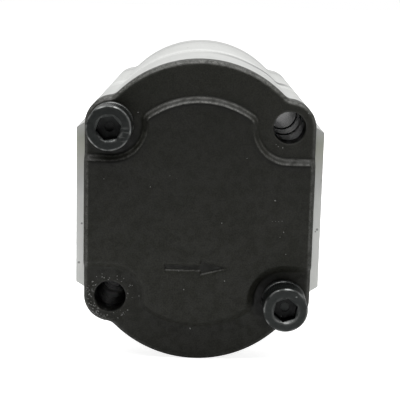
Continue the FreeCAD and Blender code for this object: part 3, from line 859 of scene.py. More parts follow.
@dataclass(frozen=True)
class Finish:
    """One finish: the base colour, gloss and metal that its detail plays round."""

    name: str
    slot: Slot
    colour: Colour
    second: Colour
    roughness: float
    metallic: float = 1.0

    def material(self) -> bpy.types.Material:
        """The finish as a material, made at its first use.

        Returns:
            The material.
        """
        known = bpy.data.materials.get(self.name)
        if known:
            return known
        material = bpy.data.materials.new(self.name)
        graph = Graph.blank(material)
        shader = graph.tree.nodes.new("ShaderNodeBsdfPrincipled")
        graph.add("ShaderNodeOutputMaterial", {0: shader.outputs[0]})
        coords = graph.add("ShaderNodeTexCoord")["Object"]
        graph.feed(shader, {"Metallic": self.metallic, **self.dress(graph, coords)})
        return material

    def dress(self, graph: Graph, coords: Socket) -> dict[str, Any]:
        """Work out what the shader is fed with.

        Args:
            graph: the material's graph.
            coords: object coordinates.

        Returns:
            The shader's inputs by name: sockets, or plain values.
        """
        raise NotImplementedError

    def gloss(self, graph: Graph, by: Socket, smoother: float, rougher: float) -> Socket:
        """The roughness, lowered where a mask is 0 and raised where it is 1."""
        return graph.remap(by, 0.0, 1.0, self.roughness - smoother, self.roughness + rougher)

    def relief(self, graph: Graph, height: Socket, depth: float) -> Socket:
        """The normal of a surface raised by a height, as deep as given in millimetres."""
        return graph.add("ShaderNodeBump", {
            "Strength": 1.0, "Distance": depth * MM, "Height": height})[0]


@dataclass(frozen=True)
class CastPaint(Finish):
    """Matt black paint on a cast skin, rubbed at its edges with painted highlights, with painted
    shade in its hollows and beside its screws, and chipped round a hole.

    All places are in millimetres: raised is where the pad begins along the pump, the
    second pair gives the heights over which the pad goes from painted shade at its top to
    its full tone lower down, the chips' ring begins and ends over two gaps round the worn
    hole, and dots are rows of (across, up, radius).
    """

    rubbed_and_highlight: Colour = (0.240, 0.240, 0.225, 1.0)
    chip: Colour = (0.30, 0.30, 0.29, 1.0)
    painted_shade: Colour = (0.0035, 0.0035, 0.0030, 1.0)
    raised: Pair = (-150.4, -150.9)
    painted_top_shade: Pair = (60.0, -22.0)
    worn_hole: Pair = (0.0, 0.0)
    ring_inner: Pair = (5.6, 6.4)
    ring_outer: Pair = (10.0, 8.2)
    dots: tuple[tuple[float, float, float], ...] = ()

    def chips(self, graph: Graph, coords: Socket) -> Socket:
        """Mask of the chips: a ring of them round the worn hole, and single ones.

        Args:
            graph: the material's graph.
            coords: object coordinates.

        Returns:
            One where the paint is off.
        """
        across, up = self.worn_hole
        spot = graph.place(coords, (1, 0, 1), shift=(-across * MM, 0, -up * MM))
        radius = graph.vector("LENGTH", spot)["Value"]
        toward = graph.vector("DOT_PRODUCT", spot, (-0.85, 0, -0.53))["Value"]
        share = graph.times(graph.between(radius, self.ring_inner),
                            graph.between(radius, self.ring_outer),
                            graph.between(toward, (-4.0, 6.5), 0.12, 0.45))
        ring = graph.group(SPECKS, coords, Scale=2500.0, Share=share, Size=0.66)[0]
        loose = graph.group(SPECKS, coords, Scale=1150.0, Share=0.005, Size=0.42)[0]
        return graph.most(ring, loose, graph.spots(coords, self.dots))

    def dress(self, graph: Graph, coords: Socket) -> dict[str, Any]:
        """Two close blacks, painted shade towards the pad's top and in hollows, rubbed edges with
        painted highlights, specks, chips in a ring and fine scratches.

        Args:
            graph: the material's graph.
            coords: object coordinates.

        Returns:
            The shader's inputs by name.
        """
        grain = graph.group(GRAIN, coords, Scale=1500.0)
        paint = graph.blend(grain["Tone"], self.colour, self.second)
        paint = graph.tint(paint, graph.remap(graph.noise(coords, 1900.0, 4.0),
                                              0.34, 0.66, 0.45, 1.0))
        _, along, up = graph.parts(coords)
        # Painted shade: the pad darker towards its top, full tone lower down
        painted_top_shade = graph.between(up, self.painted_top_shade, 0.64, 1.0)
        level = graph.blend(graph.between(along, self.raised), grey(0.84), painted_top_shade)
        paint = graph.tint(paint, level)
        uneven = graph.remap(graph.noise(coords, 650.0, 4.0), 0.34, 0.62, 0.35, 1.0)
        sparkle = graph.remap(graph.noise(coords, 2700.0, 2.0), 0.36, 0.64, 0.55, 1.35)
        # Rubbed edges with painted highlights, from the mesh's edge attribute
        paint = graph.blend(graph.times(graph.kept("edge"), uneven, sparkle), paint, self.rubbed_and_highlight)
        # Painted shade, from the mesh's shade attribute
        paint = graph.blend(graph.kept("painted_shade"), paint, self.painted_shade)
        moved = graph.place(coords, shift=(0.013, 0.0, 0.021))
        lines = graph.group(SCRATCHES, moved, Scale=260.0, Share=0.035)[0]
        marks = graph.most(graph.times(self.chips(graph, coords), 0.85), graph.times(lines, 0.18))
        height = graph.math("SUBTRACT", grain["Height"], graph.times(marks, 0.3))
        return {"Base Color": graph.blend(marks, paint, self.chip),
                "Roughness": self.gloss(graph, grain["Mottle"], 0.10, 0.11),
                "Specular IOR Level": 0.34, "Normal": self.relief(graph, height, 0.14)}


class Marks(Enum):
    """Which of a tool's marks a machined surface shows."""

    ROWS = "Rows"
    RINGS = "Rings"


@dataclass(frozen=True)
class Machined(Finish):
    """Bare metal with tool marks, a few pits and a brighter edge, rubbed and painted as a highlight.

    All places are in millimetres. Bands and bore are stops of (along the pump, tone) for
    the outside and for the bolt holes, which stand at their half spacing across, their
    middle up, and reach as far as their radius; the outside's tones hold a painted
    highlight round the bodies' joint, and the holes' tones are painted shade and painted
    highlights in rings down each hole. Ends are stops of (up, colour) for the rear end,
    darker towards its top as painted shade. Seams lie along the pump and darken from the
    first to the second gap. Blots are rows of (across, up, radius). The joint's painted
    shadow is stops of (across, strength) for the shade of the small step where the bodies
    meet: its middle runs from the first to the second (across, along), it fades over the
    two gaps, and it keeps to the top.
    """

    marks: Marks = Marks.ROWS
    mark_scale: float = 3500.0
    mark_depth: float = 0.004
    pit: Colour = (0.10, 0.10, 0.09, 1.0)
    pits: float = 0.03
    wear_and_painted_light: float = 0.35
    tone_and_highlight_bands: Stops = ()
    bore: Stops = ()
    holes: tuple[float, float, float] = (0.0, 0.0, 0.0)
    ends: tuple[tuple[float, Colour], ...] = ()
    seams: tuple[float, ...] = ()
    seam_gap: Pair = (0.42, 0.12)
    blots: tuple[tuple[float, float, float], ...] = ()
    painted_step_shade: Stops = ()
    step_shade_run: tuple[Pair, Pair] = ((18.0, -98.0), (30.0, -80.0))
    step_shade_gap: Pair = (7.5, 3.5)
    step_shade_top: Pair = (40.0, 46.0)

    def tone(self, graph: Graph, colour: Socket, coords: Socket, inside: Socket) -> Socket:
        """Tone the metal by place: along the pump, with a painted highlight round the bodies'
        joint; on its rear end, with painted shade towards its top; in the bolt holes, with
        painted shade and painted highlights in rings; and with a painted shadow along part
        of the joint.

        Args:
            graph: the material's graph.
            colour: the plain metal.
            coords: object coordinates.
            inside: mask of the bolt holes.

        Returns:
            The toned colour.
        """
        across, along, up = graph.parts(coords)
        # Tone along the pump, with a painted highlight round the bodies' joint
        level = graph.ramp(along, self.tone_and_highlight_bands) if self.tone_and_highlight_bands else grey(1.0)
        facing = graph.parts(graph.add("ShaderNodeNewGeometry")["Normal"])[1]
        # Painted shade: the rear end darker towards its top
        if self.ends:
            behind = graph.remap(facing, -0.6, -0.9)
            level = graph.blend(behind, level, graph.ramp(up, self.ends))
        oily = graph.remap(graph.noise(coords, 420.0, 3.0), 0.36, 0.64, 0.75, 1.05)
        # Painted shade and painted highlights in rings down the bolt holes
        level = graph.blend(inside, level, graph.tint(graph.ramp(along, self.bore), oily))
        colour = graph.tint(colour, level)
        flank = graph.remap(graph.math("ABSOLUTE", facing), 0.8, 0.5)
        for seam in self.seams:
            away = graph.math("ABSOLUTE", graph.math("SUBTRACT", along, seam * MM))
            shade = graph.times(flank, graph.between(away, self.seam_gap))
            colour = graph.blend(shade, colour, grey(0.16))
        if self.blots:
            colour = graph.blend(graph.times(graph.spots(coords, self.blots), 0.6), colour, self.pit)
        # Painted shadow of the small step along the right half of the bodies' joint
        if self.painted_step_shade:
            (left, near), (right, far) = self.step_shade_run
            run = graph.between(across, (left, right), near * MM, far * MM)
            away = graph.math("ABSOLUTE", graph.math("SUBTRACT", along, run))
            step_shade = graph.times(graph.ramp(across, self.painted_step_shade), graph.between(away, self.step_shade_gap),
                              graph.between(up, self.step_shade_top))
            colour = graph.blend(step_shade, colour, grey(0.10))
        return colour

    def dress(self, graph: Graph, coords: Socket) -> dict[str, Any]:
        """Slow patches of two tones, streaks by the tool, pits, and edges rubbed bright with a
        painted highlight.

        Args:
            graph: the material's graph.
            coords: object coordinates.

        Returns:
            The shader's inputs by name.
        """
        grain = graph.group(GRAIN, coords, Scale=1300.0)
        streak = graph.group(TOOL_MARKS, coords, Scale=self.mark_scale)[self.marks.value]
        pits = graph.group(SPECKS, coords, Scale=520.0, Share=self.pits, Size=0.30)[0]
        wear_and_painted_light = graph.group(EDGE_WEAR_AND_HIGHLIGHT, coords, Reach=0.4 * MM)[0]
        tone = graph.times(graph.math("ADD", grain["Tone"], graph.remap(streak, 0.3, 0.7)), 0.5)
        colour = graph.blend(tone, self.colour, self.second)
        rough = graph.remap(streak, 0.25, 0.75, self.roughness - 0.06, self.roughness + 0.07)
        rough = graph.math("ADD", rough, graph.times(pits, 0.2))
        fed = {}
        if self.bore:
            half, middle, reach = (size * MM for size in self.holes)
            inside = graph.group(BOLT_BORES, coords, Half=half, Middle=middle, Reach=reach)[0]
            colour = self.tone(graph, colour, coords, inside)
            rough = graph.remap(inside, 0.0, 1.0, rough, 0.27)
            fed["Metallic"] = graph.remap(inside, 0.0, 1.0, self.metallic, 0.30)
        # Edges lightened as rubbed wear and a painted highlight
        rubbed_and_highlight = grey(min(1.0, self.colour[1] * 1.5))
        colour = graph.blend(graph.times(wear_and_painted_light, self.wear_and_painted_light), colour, rubbed_and_highlight)
        height = graph.math("ADD", graph.times(streak, 0.6), graph.times(grain["Height"], 0.8))
        height = graph.math("SUBTRACT", height, graph.times(pits, 4.0))
        return {"Base Color": graph.blend(pits, colour, self.pit), "Roughness": rough,
                "Normal": self.relief(graph, height, self.mark_depth), **fed}


@dataclass(frozen=True)
class BlackOxide(Finish):
    """Black oxide on steel, oily, with corners rubbed to grey metal and painted highlights, and
    painted shade in its sockets.
    """

    rubbed_and_highlight: Colour = (0.42, 0.43, 0.42, 1.0)
    painted_shade: Colour = (0.004, 0.004, 0.004, 1.0)
    scuff: Pair = (0.0, 0.0)

    def dress(self, graph: Graph, coords: Socket) -> dict[str, Any]:
        """Two blacks in small patches, painted shade, rims rubbed with painted highlights, a scuff,
        handling marks and specks.

        Args:
            graph: the material's graph.
            coords: object coordinates.

        Returns:
            The shader's inputs by name.
        """
        grain = graph.group(GRAIN, coords, Scale=2600.0)
        uneven = graph.remap(graph.noise(coords, 420.0, 5.0), 0.40, 0.60, 0.08, 1.0)
        lines = graph.group(SCRATCHES, coords, Scale=420.0, Share=0.10)[0]
        dots = graph.group(SPECKS, coords, Scale=1000.0, Share=0.05, Size=0.34)[0]
        rows = graph.remap(graph.noise(graph.place(coords, (0.12, 1, 1)), 1500.0, 2.0), 0.56, 0.66)
        scuff = graph.times(rows, graph.spots(coords, ((*self.scuff, 3.4),)))
        colour = graph.blend(grain["Mottle"], self.colour, self.second)
        # Painted shade, from the mesh's shade attribute
        colour = graph.blend(graph.kept("painted_shade"), colour, self.painted_shade)
        # Rubbed rims with painted highlights, from the mesh's edge attribute
        marks = graph.most(graph.times(graph.kept("edge"), uneven), graph.times(lines, 0.2),
                           graph.times(scuff, 0.15), graph.times(dots, 0.55))
        return {"Base Color": graph.blend(marks, colour, self.rubbed_and_highlight),
                "Roughness": self.gloss(graph, grain["Mottle"], 0.05, 0.08),
                "Normal": self.relief(graph, grain["Height"], 0.010)}


@dataclass(frozen=True)
class Moulded(Finish):
    """Moulded rubber with a fine skin and a little dust."""

    def dress(self, graph: Graph, coords: Socket) -> dict[str, Any]:
        """Two greys in patches, pale dust specks and a soft grain.

        Args:
            graph: the material's graph.
            coords: object coordinates.

        Returns:
            The shader's inputs by name.
        """
        grain = graph.group(GRAIN, coords, Scale=2200.0)
        dust = graph.group(SPECKS, coords, Scale=1600.0, Share=0.06, Size=0.3)[0]
        colour = graph.blend(grain["Tone"], self.colour, self.second)
        rough = graph.remap(grain["Height"], 0.3, 0.7, self.roughness - 0.08, self.roughness + 0.08)
        return {"Base Color": graph.blend(graph.times(dust, 0.5), colour, grey(0.22)),
                "Roughness": rough, "Normal": self.relief(graph, grain["Height"], 0.015)}


# The pump's own places, read from the frame


@dataclass(frozen=True)
class Places:
    """Where the pump's pieces stand, in millimetres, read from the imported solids."""

    middle: float
    side: float
    joint: float
    pad_top: float
    screw_half: float
    seat: float
    under_head: float
    head_face: float
    screw_tip: float
    nut: Pair
    washer: Pair
    seal: Pair
    shaft_tip: float
    head_radius: float = 8.0

    @classmethod
    def read(cls) -> "Places":
        """Work the places out from the boxes of the nodes.

        Returns:
            The places.
        """
        box = {name: [Vector(end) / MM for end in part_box(name)] for name in (
            "rear_cover", "cap_screws", "lock_washers", "shaft_nut", "shaft_washer",
            "shaft_seal", "front_drive_gear")}
        span = {name: (low.y, high.y) for name, (low, high) in box.items()}
        low, high = box["rear_cover"]
        under_head, seat = span["lock_washers"]
        head_face, screw_tip = span["cap_screws"]
        return cls(middle=(low.z + high.z) / 2, side=high.x, joint=high.y, pad_top=low.y,
                   screw_half=box["cap_screws"][1].x - cls.head_radius, seat=seat,
                   under_head=under_head, head_face=head_face, screw_tip=screw_tip,
                   nut=span["shaft_nut"], washer=span["shaft_washer"], seal=span["shaft_seal"],
                   shaft_tip=span["front_drive_gear"][1])

    def corner(self, right: int, up: int) -> Pair:
        """Centre of the hole in one corner; right and up are 1 or -1."""
        return (right * self.screw_half, self.middle + up * self.screw_half)


def keep_wear_and_painted_light(mesh: bpy.types.Mesh, edge: Array, painted_shade: Array) -> None:
    """Keep each vertex's wear and painted light as attributes.

    Args:
        mesh: the mesh.
        edge: how rubbed each vertex is, with its painted highlight, from 0 to 1.
        painted_shade: how much painted shade it gets, from 0 to 1.
    """
    for name, amount in (("edge", edge), ("painted_shade", painted_shade)):
        layer = mesh.attributes.new(name, "FLOAT", "POINT")
        layer.data.foreach_set("value", np.clip(amount, 0, 1).astype(np.float32))


def add_piece(mesh: bpy.types.Mesh, body: Body, finish: Finish, *replaced: str) -> None:
    """Put a finished mesh into the scene on its body, under its own name.

    Args:
        mesh: the piece's mesh, in place.
        body: the body that carries it.
        finish: its finish.
        replaced: the solids that it stands for.
    """
    piece = put(mesh.name, mesh)
    piece.data.materials.append(finish.material())
    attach(piece, body.value)
    if replaced:
        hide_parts(*replaced)
    log.info("%s: %d faces", mesh.name, len(mesh.polygons))


# Sub-assemblies


@dataclass
class RearCover:
    """Cast cover with its low rim, raised pad, soft edges and sunk arrow."""

    places: Places
    ear_radius: float = 9.65
    wide_arc: float = 43.05
    wide_rise: float = 12.35
    ear_fillet: float = 5.0
    rim: float = 10.0
    rim_break: float = 1.25
    edge_ease: float = 0.8
    pad_slope: float = 2.4
    pad_ease: float = 0.9
    pad_arc: float = 33.5
    pad_rise: float = 9.3
    pad_hollow: float = 11.0
    pad_blend: float = 4.0
    arrow_tail: float = -12.0
    arrow_tip: float = 10.7
    arrow_head: float = 9.6
    arrow_drop: float = -19.85
    arrow_half: float = 1.0
    arrow_head_half: float = 2.6
    arrow_depth: float = 0.8
    hole_radius: float = 5.8
    hole_break: float = 0.3
    screw_hole: float = 5.5
    shaded_sides: tuple[float, ...] = (0.0, 0.0, -70.0, 175.0)
    waviness: float = 0.035
    step: float = 0.45
    net_step: float = 1.3
    holes: list[tuple[Pair, float]] = field(default_factory=list)
    shapes: tuple[Outline, ...] = ()

    def outline(self) -> Outline:
        """The cover's outline round its own middle: straight sides, ears and wide arcs.

        Returns:
            The outline.
        """
        screw, side, ease = self.places.screw_half, self.places.side, self.ear_fillet
        ear, hub, step = (screw, screw), (0.0, self.wide_rise), self.step
        blend = meet(hub, self.wide_arc + ease, ear, self.ear_radius + ease)
        turn = bearing(ear, blend)
        return Outline(np.vstack([
            line((side, 0), (side, screw), step), arc(ear, self.ear_radius, 0, turn, step)[1:],
            arc(blend, ease, turn - math.pi, bearing(blend, hub), step)[1:],
            arc(hub, self.wide_arc, bearing(hub, blend), math.pi / 2, step)[1:]]), True)

    def pad_outline(self) -> Outline:
        """The pad's foot; its straight sides are drawn beyond the cover's own sides.

        Returns:
            The outline.
        """
        screw, beyond, ease = self.places.screw_half, self.places.side + 12, self.pad_blend
        ear, hub, foot = (screw, screw), (0.0, self.pad_rise), screw - self.pad_hollow
        blend, step = meet(hub, self.pad_arc - ease, ear, self.pad_hollow + ease), self.step
        turn = bearing(ear, blend) % (2 * math.pi) - 2 * math.pi
        return Outline(np.vstack([
            line((beyond, 0), (beyond, foot), step * 6),
            line((beyond, foot), (screw, foot), step)[1:],
            arc(ear, self.pad_hollow, -math.pi / 2, turn, step)[1:],
            arc(blend, ease, turn + math.pi, bearing(hub, blend), step)[1:],
            arc(hub, self.pad_arc, bearing(hub, blend), math.pi / 2, step)[1:]]), True)

    def arrow_outline(self) -> Outline:
        """The arrow's seven corners, joined by points close enough for its soft walls.

        Returns:
            The outline.
        """
        neck, drop = self.arrow_tip - self.arrow_head, self.arrow_drop
        corners = [(self.arrow_tail, drop - self.arrow_half), (neck, drop - self.arrow_half),
                   (neck, drop - self.arrow_head_half), (self.arrow_tip, drop),
                   (neck, drop + self.arrow_head_half), (neck, drop + self.arrow_half),
                   (self.arrow_tail, drop + self.arrow_half)]
        return Outline(np.vstack([line(start, end, 0.3)[:-1]
                                  for start, end in zip(corners, corners[1:] + corners[:1])]))

    def height(self, points: Array) -> tuple[Array, Array, Array]:
        """Height of the cover's skin over the joint, and its wear and painted light, at points.

        The height is the rim's, plus the pad's times a soft ramp of the distance inside
        the pad's foot, less a soft ramp down to the outline, to each bolt hole and into
        the arrow, plus a slow waviness. The rubbing, wear with a painted highlight, is high
        where a ramp turns, and most of all where it turns upwards to the overhead light,
        which is found by reading each distance once more a little higher up. Painted shade
        lies along the pad's upper slope, in the arrow, and on the shaded side of each screw.

        Args:
            points: rows of (across, up) round the cover's middle.

        Returns:
            The heights, the rubbing with its painted highlights, and the painted shade.
        """
        rise = self.places.joint - self.places.pad_top - self.rim
        reach = 0.05
        out, pad, arrow = (shape.depth(points) for shape in self.shapes)
        higher = [shape.depth(points + (0, reach)) for shape in self.shapes]
        skyward, faces_up, sunk_up = (
            np.clip(fall / reach, 0, 1)
            for fall in (out - higher[0], pad - higher[1], higher[2] - arrow))
        height = self.rim + rise * soft_ramp(pad, self.pad_slope, self.pad_ease)
        height -= self.rim_break * (1 - soft_ramp(out, self.rim_break, self.edge_ease))
        height -= self.arrow_depth * soft_ramp(arrow + 0.2, 0.4, 0.25)
        height += self.waviness * ripple(points, 5.0, 5) * np.clip(out, 0, 1)

        def crest(distance: Array, at: float, width: float) -> Array:
            """A hump of height one round a distance."""
            return np.exp(-((distance - at) / width)**2)

        inland = out > self.rim_break * 1.6
        central = 1 - 0.6 * np.clip((np.abs(points[:, 0]) - 18) / 14, 0, 1)
        # Share of each bend that faces up to the overhead light, where highlights are painted
        bright, slope = faces_up * central, self.pad_slope
        # Rubbed wear along bends and rims, with painted highlights where they face up
        rubbed_and_highlight = np.maximum.reduce([
            (least + more * by) * crest(distance, at, width) * where
            for distance, at, width, least, more, by, where in (
                (pad, slope - 0.40, 0.28, 0.05, 0.85, bright, inland),
                (pad, 0.65, 0.28, 0.01, 0.60, bright, inland),
                (pad, slope / 2, 0.8, 0.0, 0.06, 1 - faces_up, inland),
                (out, self.rim_break, 0.30, 0.42, 0.0, bright, pad > slope - 0.4),
                (out, self.rim_break * 0.35, 0.75, 0.18, 0.42, skyward, 1),
                (arrow, 0.0, 0.18, 0.10, 0.40, sunk_up, 1))])
        # Painted shade under the pad's upper crest, at its foot and in the arrow's recess
        painted_shade = np.maximum.reduce([
            0.90 * crest(pad, slope + 0.45, 0.40) * faces_up * inland,
            0.50 * crest(pad, -0.10, 0.35) * faces_up * inland,
            0.50 * np.clip((arrow - 0.15) / 0.2, 0, 1)])
        for (centre, radius), side in zip(self.holes, self.shaded_sides):
            around = points - centre
            gap = np.hypot(*around.T) - radius
            if radius == self.hole_radius:
                height -= self.hole_break * (1 - soft_ramp(gap, self.hole_break, 0.15))
                rubbed_and_highlight = np.maximum(rubbed_and_highlight, 0.15 * crest(gap, 0.15, 0.25))
                continue
            # Painted shade on the side of each screw that its head shades
            off = np.arctan2(around[:, 1], around[:, 0]) - math.radians(side)
            screw_shade = np.clip(np.cos(off), 0, 1) * np.clip((7.6 - gap) / 2.6, 0, 1)
            painted_shade = np.maximum(painted_shade, 0.95 * screw_shade * (pad < 0.5))
        return height, rubbed_and_highlight, painted_shade

    def free_points(self) -> Array:
        """Points for the skin's net: dense beside each bend, and a grid elsewhere.

        Returns:
            Rows of (across, up) round the cover's middle.
        """

        def beside(shape: Outline, offsets: Sequence[float]) -> Array:
            """Copies of an outline set off to its left, without points that fold over.

            Args:
                shape: the outline.
                offsets: how far each copy lies inside it.

            Returns:
                The points of all the copies.
            """
            loop = shape.loop()
            way = np.roll(loop, -1, axis=0) - np.roll(loop, 1, axis=0)
            way /= np.linalg.norm(way, axis=1)[:, None]
            normal = np.stack([-way[:, 1], way[:, 0]], 1)
            spots = (loop + np.array(offsets)[:, None, None] * normal).reshape(-1, 2)
            wanted = np.repeat(np.abs(offsets), len(loop))
            return spots[np.abs(shape.depth(spots)) > wanted - 0.03]

        outline, pad, arrow = self.shapes
        sets = [beside(outline, (0.2, 0.42, 0.65, 0.88, 1.1, 1.4, 1.9)),
                beside(pad, (-0.75, -0.45, -0.2, 0.05, 0.3, 0.6, 1.0, 1.4, 1.8, 2.05, 2.3,
                             2.55, 2.8, 3.15)),
                beside(arrow, (-0.3, -0.12, 0.06, 0.22, 0.4, 0.6))]
        sets += [arc(centre, radius + offset, 0, 2 * math.pi, self.step)[:-1]
                 for centre, radius in self.holes for offset in (0.12, 0.25, 0.4, 0.7, 1.2)]
        lines = [np.arange(-half, half, self.net_step) for half in outline.path.max(0)]
        grid = np.stack(np.meshgrid(*lines), -1)
        grid[1::2, :, 0] += self.net_step / 2
        grid = grid.reshape(-1, 2)
        near_pad = np.abs(pad.depth(grid) - 1.2) < 2.5
        sets.append(grid[~near_pad & (arrow.depth(grid) < -0.8)])
        spots = np.vstack(sets)
        inside = outline.depth(spots) > 0.15
        for centre, radius in self.holes:
            inside &= np.hypot(*(spots - centre).T) > radius + 0.1
        return spots[inside]

    def in_place(self, points: Array, height: Array | float) -> Array:
        """Points round the cover's middle at a height over the joint, in the pump's frame."""
        deep = np.broadcast_to(self.places.joint - np.asarray(height), len(points))
        return np.stack([points[:, 0], deep, points[:, 1] + self.places.middle], 1)

    def build(self, finish: CastPaint) -> None:
        """Build the cover's closed skin, in place of the solid cover, and dress it.

        Args:
            finish: its paint.
        """
        half = self.places.screw_half
        self.shapes = (self.outline(), self.pad_outline(), self.arrow_outline())
        self.holes = [((half, half), self.hole_radius), ((-half, -half), self.hole_radius),
                      ((-half, half), self.screw_hole), ((half, -half), self.screw_hole)]
        rims = [arc(centre, radius, 0, 2 * math.pi, 0.4)[:-1] for centre, radius in self.holes]
        loops = [self.shapes[0].loop(), *rims]
        net, faces = flat_net(loops, self.holes, self.free_points())
        patch = Patch(self.in_place(net, self.height(net)[0]), [faces])
        for loop in loops:
            top = self.height(loop)[0]
            walls = [self.in_place(loop, top * share) for share in (1.0, 0.5, 0.0)]
            patch = patch + Patch.grid(np.stack(walls))
        net, faces = flat_net(loops, self.holes, np.empty((0, 2)))
        patch = patch + Patch(self.in_place(net, 0.0), [faces])
        mesh = make_mesh("rear_cover_skin", patch, 60.0)
        self.wear_and_painted_light(mesh)
        add_piece(mesh, Body.HOUSING, finish, "rear_cover")

    def wear_and_painted_light(self, mesh: bpy.types.Mesh) -> None:
        """Keep the wear and painted light of the cover's face, and the painted shade down its bolt
        holes.

        Args:
            mesh: the cover's skin.
        """
        spots = spots_of(mesh)
        flat = spots[:, [0, 2]] - (0, self.places.middle)
        face = spots[:, 1] < self.places.joint - self.rim * 0.7
        rubbed_and_highlight, painted_shade = np.zeros(len(spots)), np.zeros(len(spots))
        rubbed_and_highlight[face], painted_shade[face] = self.height(flat[face])[1:]
        for centre, radius in self.holes:
            inside = np.hypot(*(flat - centre).T) < radius + 0.05
            # Painted shade down each bolt hole
            painted_shade[inside] = 0.75
            rubbed_and_highlight[inside & ~face] = 0
        keep_wear_and_painted_light(mesh, rubbed_and_highlight, painted_shade)


@dataclass
class CapScrews:
    """Two long socket head screws with knurled heads, and the washers under them."""

    places: Places
    shank: float = 5.0
    tip_break: float = 0.8
    edge: float = 0.5
    foot: float = 0.35
    knurls: int = 66
    knurl_depth: float = 0.16
    socket_flat: float = 4.0
    socket_mouth: float = 4.9
    mouth_slope: float = 0.60
    mouth_lean: float = 0.42
    socket_deep: float = 4.6
    drill_radius: float = 1.6
    drill_deep: float = 0.5
    washer_radius: float = 8.1
    washer_bore: float = 5.2
    washer_round: float = 0.45
    slit_turn: float = 174.0
    slit: float = 1.2

    def screw(self, centre: Pair, corner: float) -> Patch:
        """One screw as a profile carried round its axis.

        The radius of the head's side dips by the knurl's depth times a rectified sine.
        In the socket the profile first follows the cone of its mouth in to the
        hexagon's radius at that angle, so each flat cuts a crescent from the cone, which
        falls off faster at its lower side.

        Args:
            centre: the screw's axis.
            corner: angle of one of the socket's corners in degrees.

        Returns:
            The closed surface.
        """
        places, head, mouth = self.places, self.places.head_radius, self.socket_mouth
        tall = places.under_head - places.head_face
        grip = places.screw_tip - places.under_head
        angle = full_turn(self.knurls * 6)
        body = rounded([(0, -grip, 0), (self.shank - self.tip_break, -grip, 0),
                        (self.shank, -grip + self.tip_break, 0), (self.shank, -0.3, 0),
                        (self.shank, 0, 0), (head, 0, self.foot),
                        (head, self.foot + 0.25, 0)])
        groove = np.abs(np.sin(angle * self.knurls / 2))**1.5
        knurled = head - self.knurl_depth * (1 - groove)
        edge = tall - self.edge
        side = [(head, 0.75), (head, 0.9), *[(knurled, at) for at in (1.1, 3.5, 6.0, edge - 1.2)],
                (head, edge - 0.9)]
        top = rounded([(head, edge - 0.5, 0), (head, edge, 0.15),
                       (head - self.edge, tall, 0.15), (head - self.edge - 0.25, tall, 0),
                       (head - self.edge - 0.5, tall, 0), (head - 1.8, tall, 0),
                       (mouth + 0.6, tall, 0), (mouth + 0.15, tall, 0), (mouth, tall, 0.1),
                       (mouth - 0.1, tall - 0.1, 0)], 5)
        flat = hexagon(angle, self.socket_flat, math.radians(corner))
        slope = self.mouth_slope * (1 - self.mouth_lean * np.sin(angle))
        cut, wall = tall - (mouth - flat) * slope, flat * 0.985
        floor = tall - self.socket_deep
        drill = floor - self.drill_deep
        socket = [(flat, cut), (wall, cut - 0.12), (wall, cut - 0.8), (wall, cut - 1.9),
                  (wall, floor), (self.socket_flat * 0.9, floor - 0.1),
                  (self.drill_radius + 0.1, floor - 0.15), (self.drill_radius, drill),
                  (self.drill_radius * 0.9, drill - 0.05), (0.0, drill - 0.1)]
        return turned([*body, *side, *top, *socket], centre, places.under_head, Facing.REAR,
                      len(angle))

    def washer(self, centre: Pair) -> Patch:
        """One split washer: a rounded section carried round an arc that stops at the slit.

        The section's middle closes both ends, and the ends stand apart a little along
        the screw, as a sprung washer's do.

        Args:
            centre: the screw's axis.

        Returns:
            The closed surface.
        """
        seat, top = self.places.seat, self.places.under_head
        inner, outer, reach = self.washer_bore, self.washer_radius, self.washer_round
        section = rounded([(inner, (seat + top) / 2, 0), (inner, seat, reach / 2),
                           (outer, seat, reach), (outer, top, reach), (inner, top, reach / 2),
                           (inner, (seat + top) / 2, 0)], 5)
        half = self.slit / 2 / outer
        start = math.radians(self.slit_turn)
        angle = np.linspace(start + half, start + 2 * np.pi - half, 121)
        rim = np.concatenate([angle[:1], angle, angle[-1:]])
        size = np.ones(len(rim))
        size[[0, -1]] = 0
        middle = section[:-1].mean(0)
        ring = middle + (section - middle) * size[:, None, None]
        points = np.stack([centre[0] + ring[..., 0] * np.cos(rim)[:, None], ring[..., 1],
                           centre[1] + ring[..., 0] * np.sin(rim)[:, None]], -1)
        return Patch.grid(points, closed=False)

    def wear_and_painted_light(self, mesh: bpy.types.Mesh, centre: Pair, spot_unshaded: float) -> None:
        """Keep the wear and painted light of a screw or washer: rims rubbed bright with painted
        highlights, painted shade in the socket.

        The rubbing with its painted highlight falls as a bell curve with the distance
        from each rim, as seen in a section through the axis, and the socket's mouth is
        lightened mostly below, as a painted highlight. The painted shade grows with depth in
        the socket and towards its middle's height, apart from the drilled spot.

        Args:
            mesh: the screw's or washer's mesh.
            centre: the screw's axis.
            spot_unshaded: how far the drilled spot is kept out of the painted shade.
        """
        places, head = self.places, self.places.head_radius
        spots = spots_of(mesh)
        radius = np.hypot(spots[:, 0] - centre[0], spots[:, 2] - centre[1])
        deep = spots[:, 1] - places.head_face
        tall = places.under_head - places.head_face
        below = np.clip((centre[1] - spots[:, 2]) / np.maximum(radius, 0.1) + 0.25, 0.12, 1)

        def rim(at_radius: float, at_depth: float, reach: float) -> Array:
            """A bell curve round one rim."""
            return np.exp(-((radius - at_radius)**2 + (deep - at_depth)**2) / reach**2)

        # Rims rubbed, with painted highlights: head edge, socket mouth mostly below, washer rim
        rubbed_and_highlight = np.maximum.reduce([
            0.75 * rim(head - self.edge / 2, self.edge / 2, 0.33),
            0.95 * below * rim(self.socket_mouth - 0.25, 0.22, 0.38),
            0.30 * rim(head, tall - 0.2, 0.4), 0.60 * rim(self.washer_radius, tall + 0.1, 0.45)])
        socket = (radius < self.socket_mouth - 0.2) & (deep < self.socket_deep + 1)
        aside = np.clip((spots[:, 2] - centre[1]) / self.socket_flat, -1, 1)**2
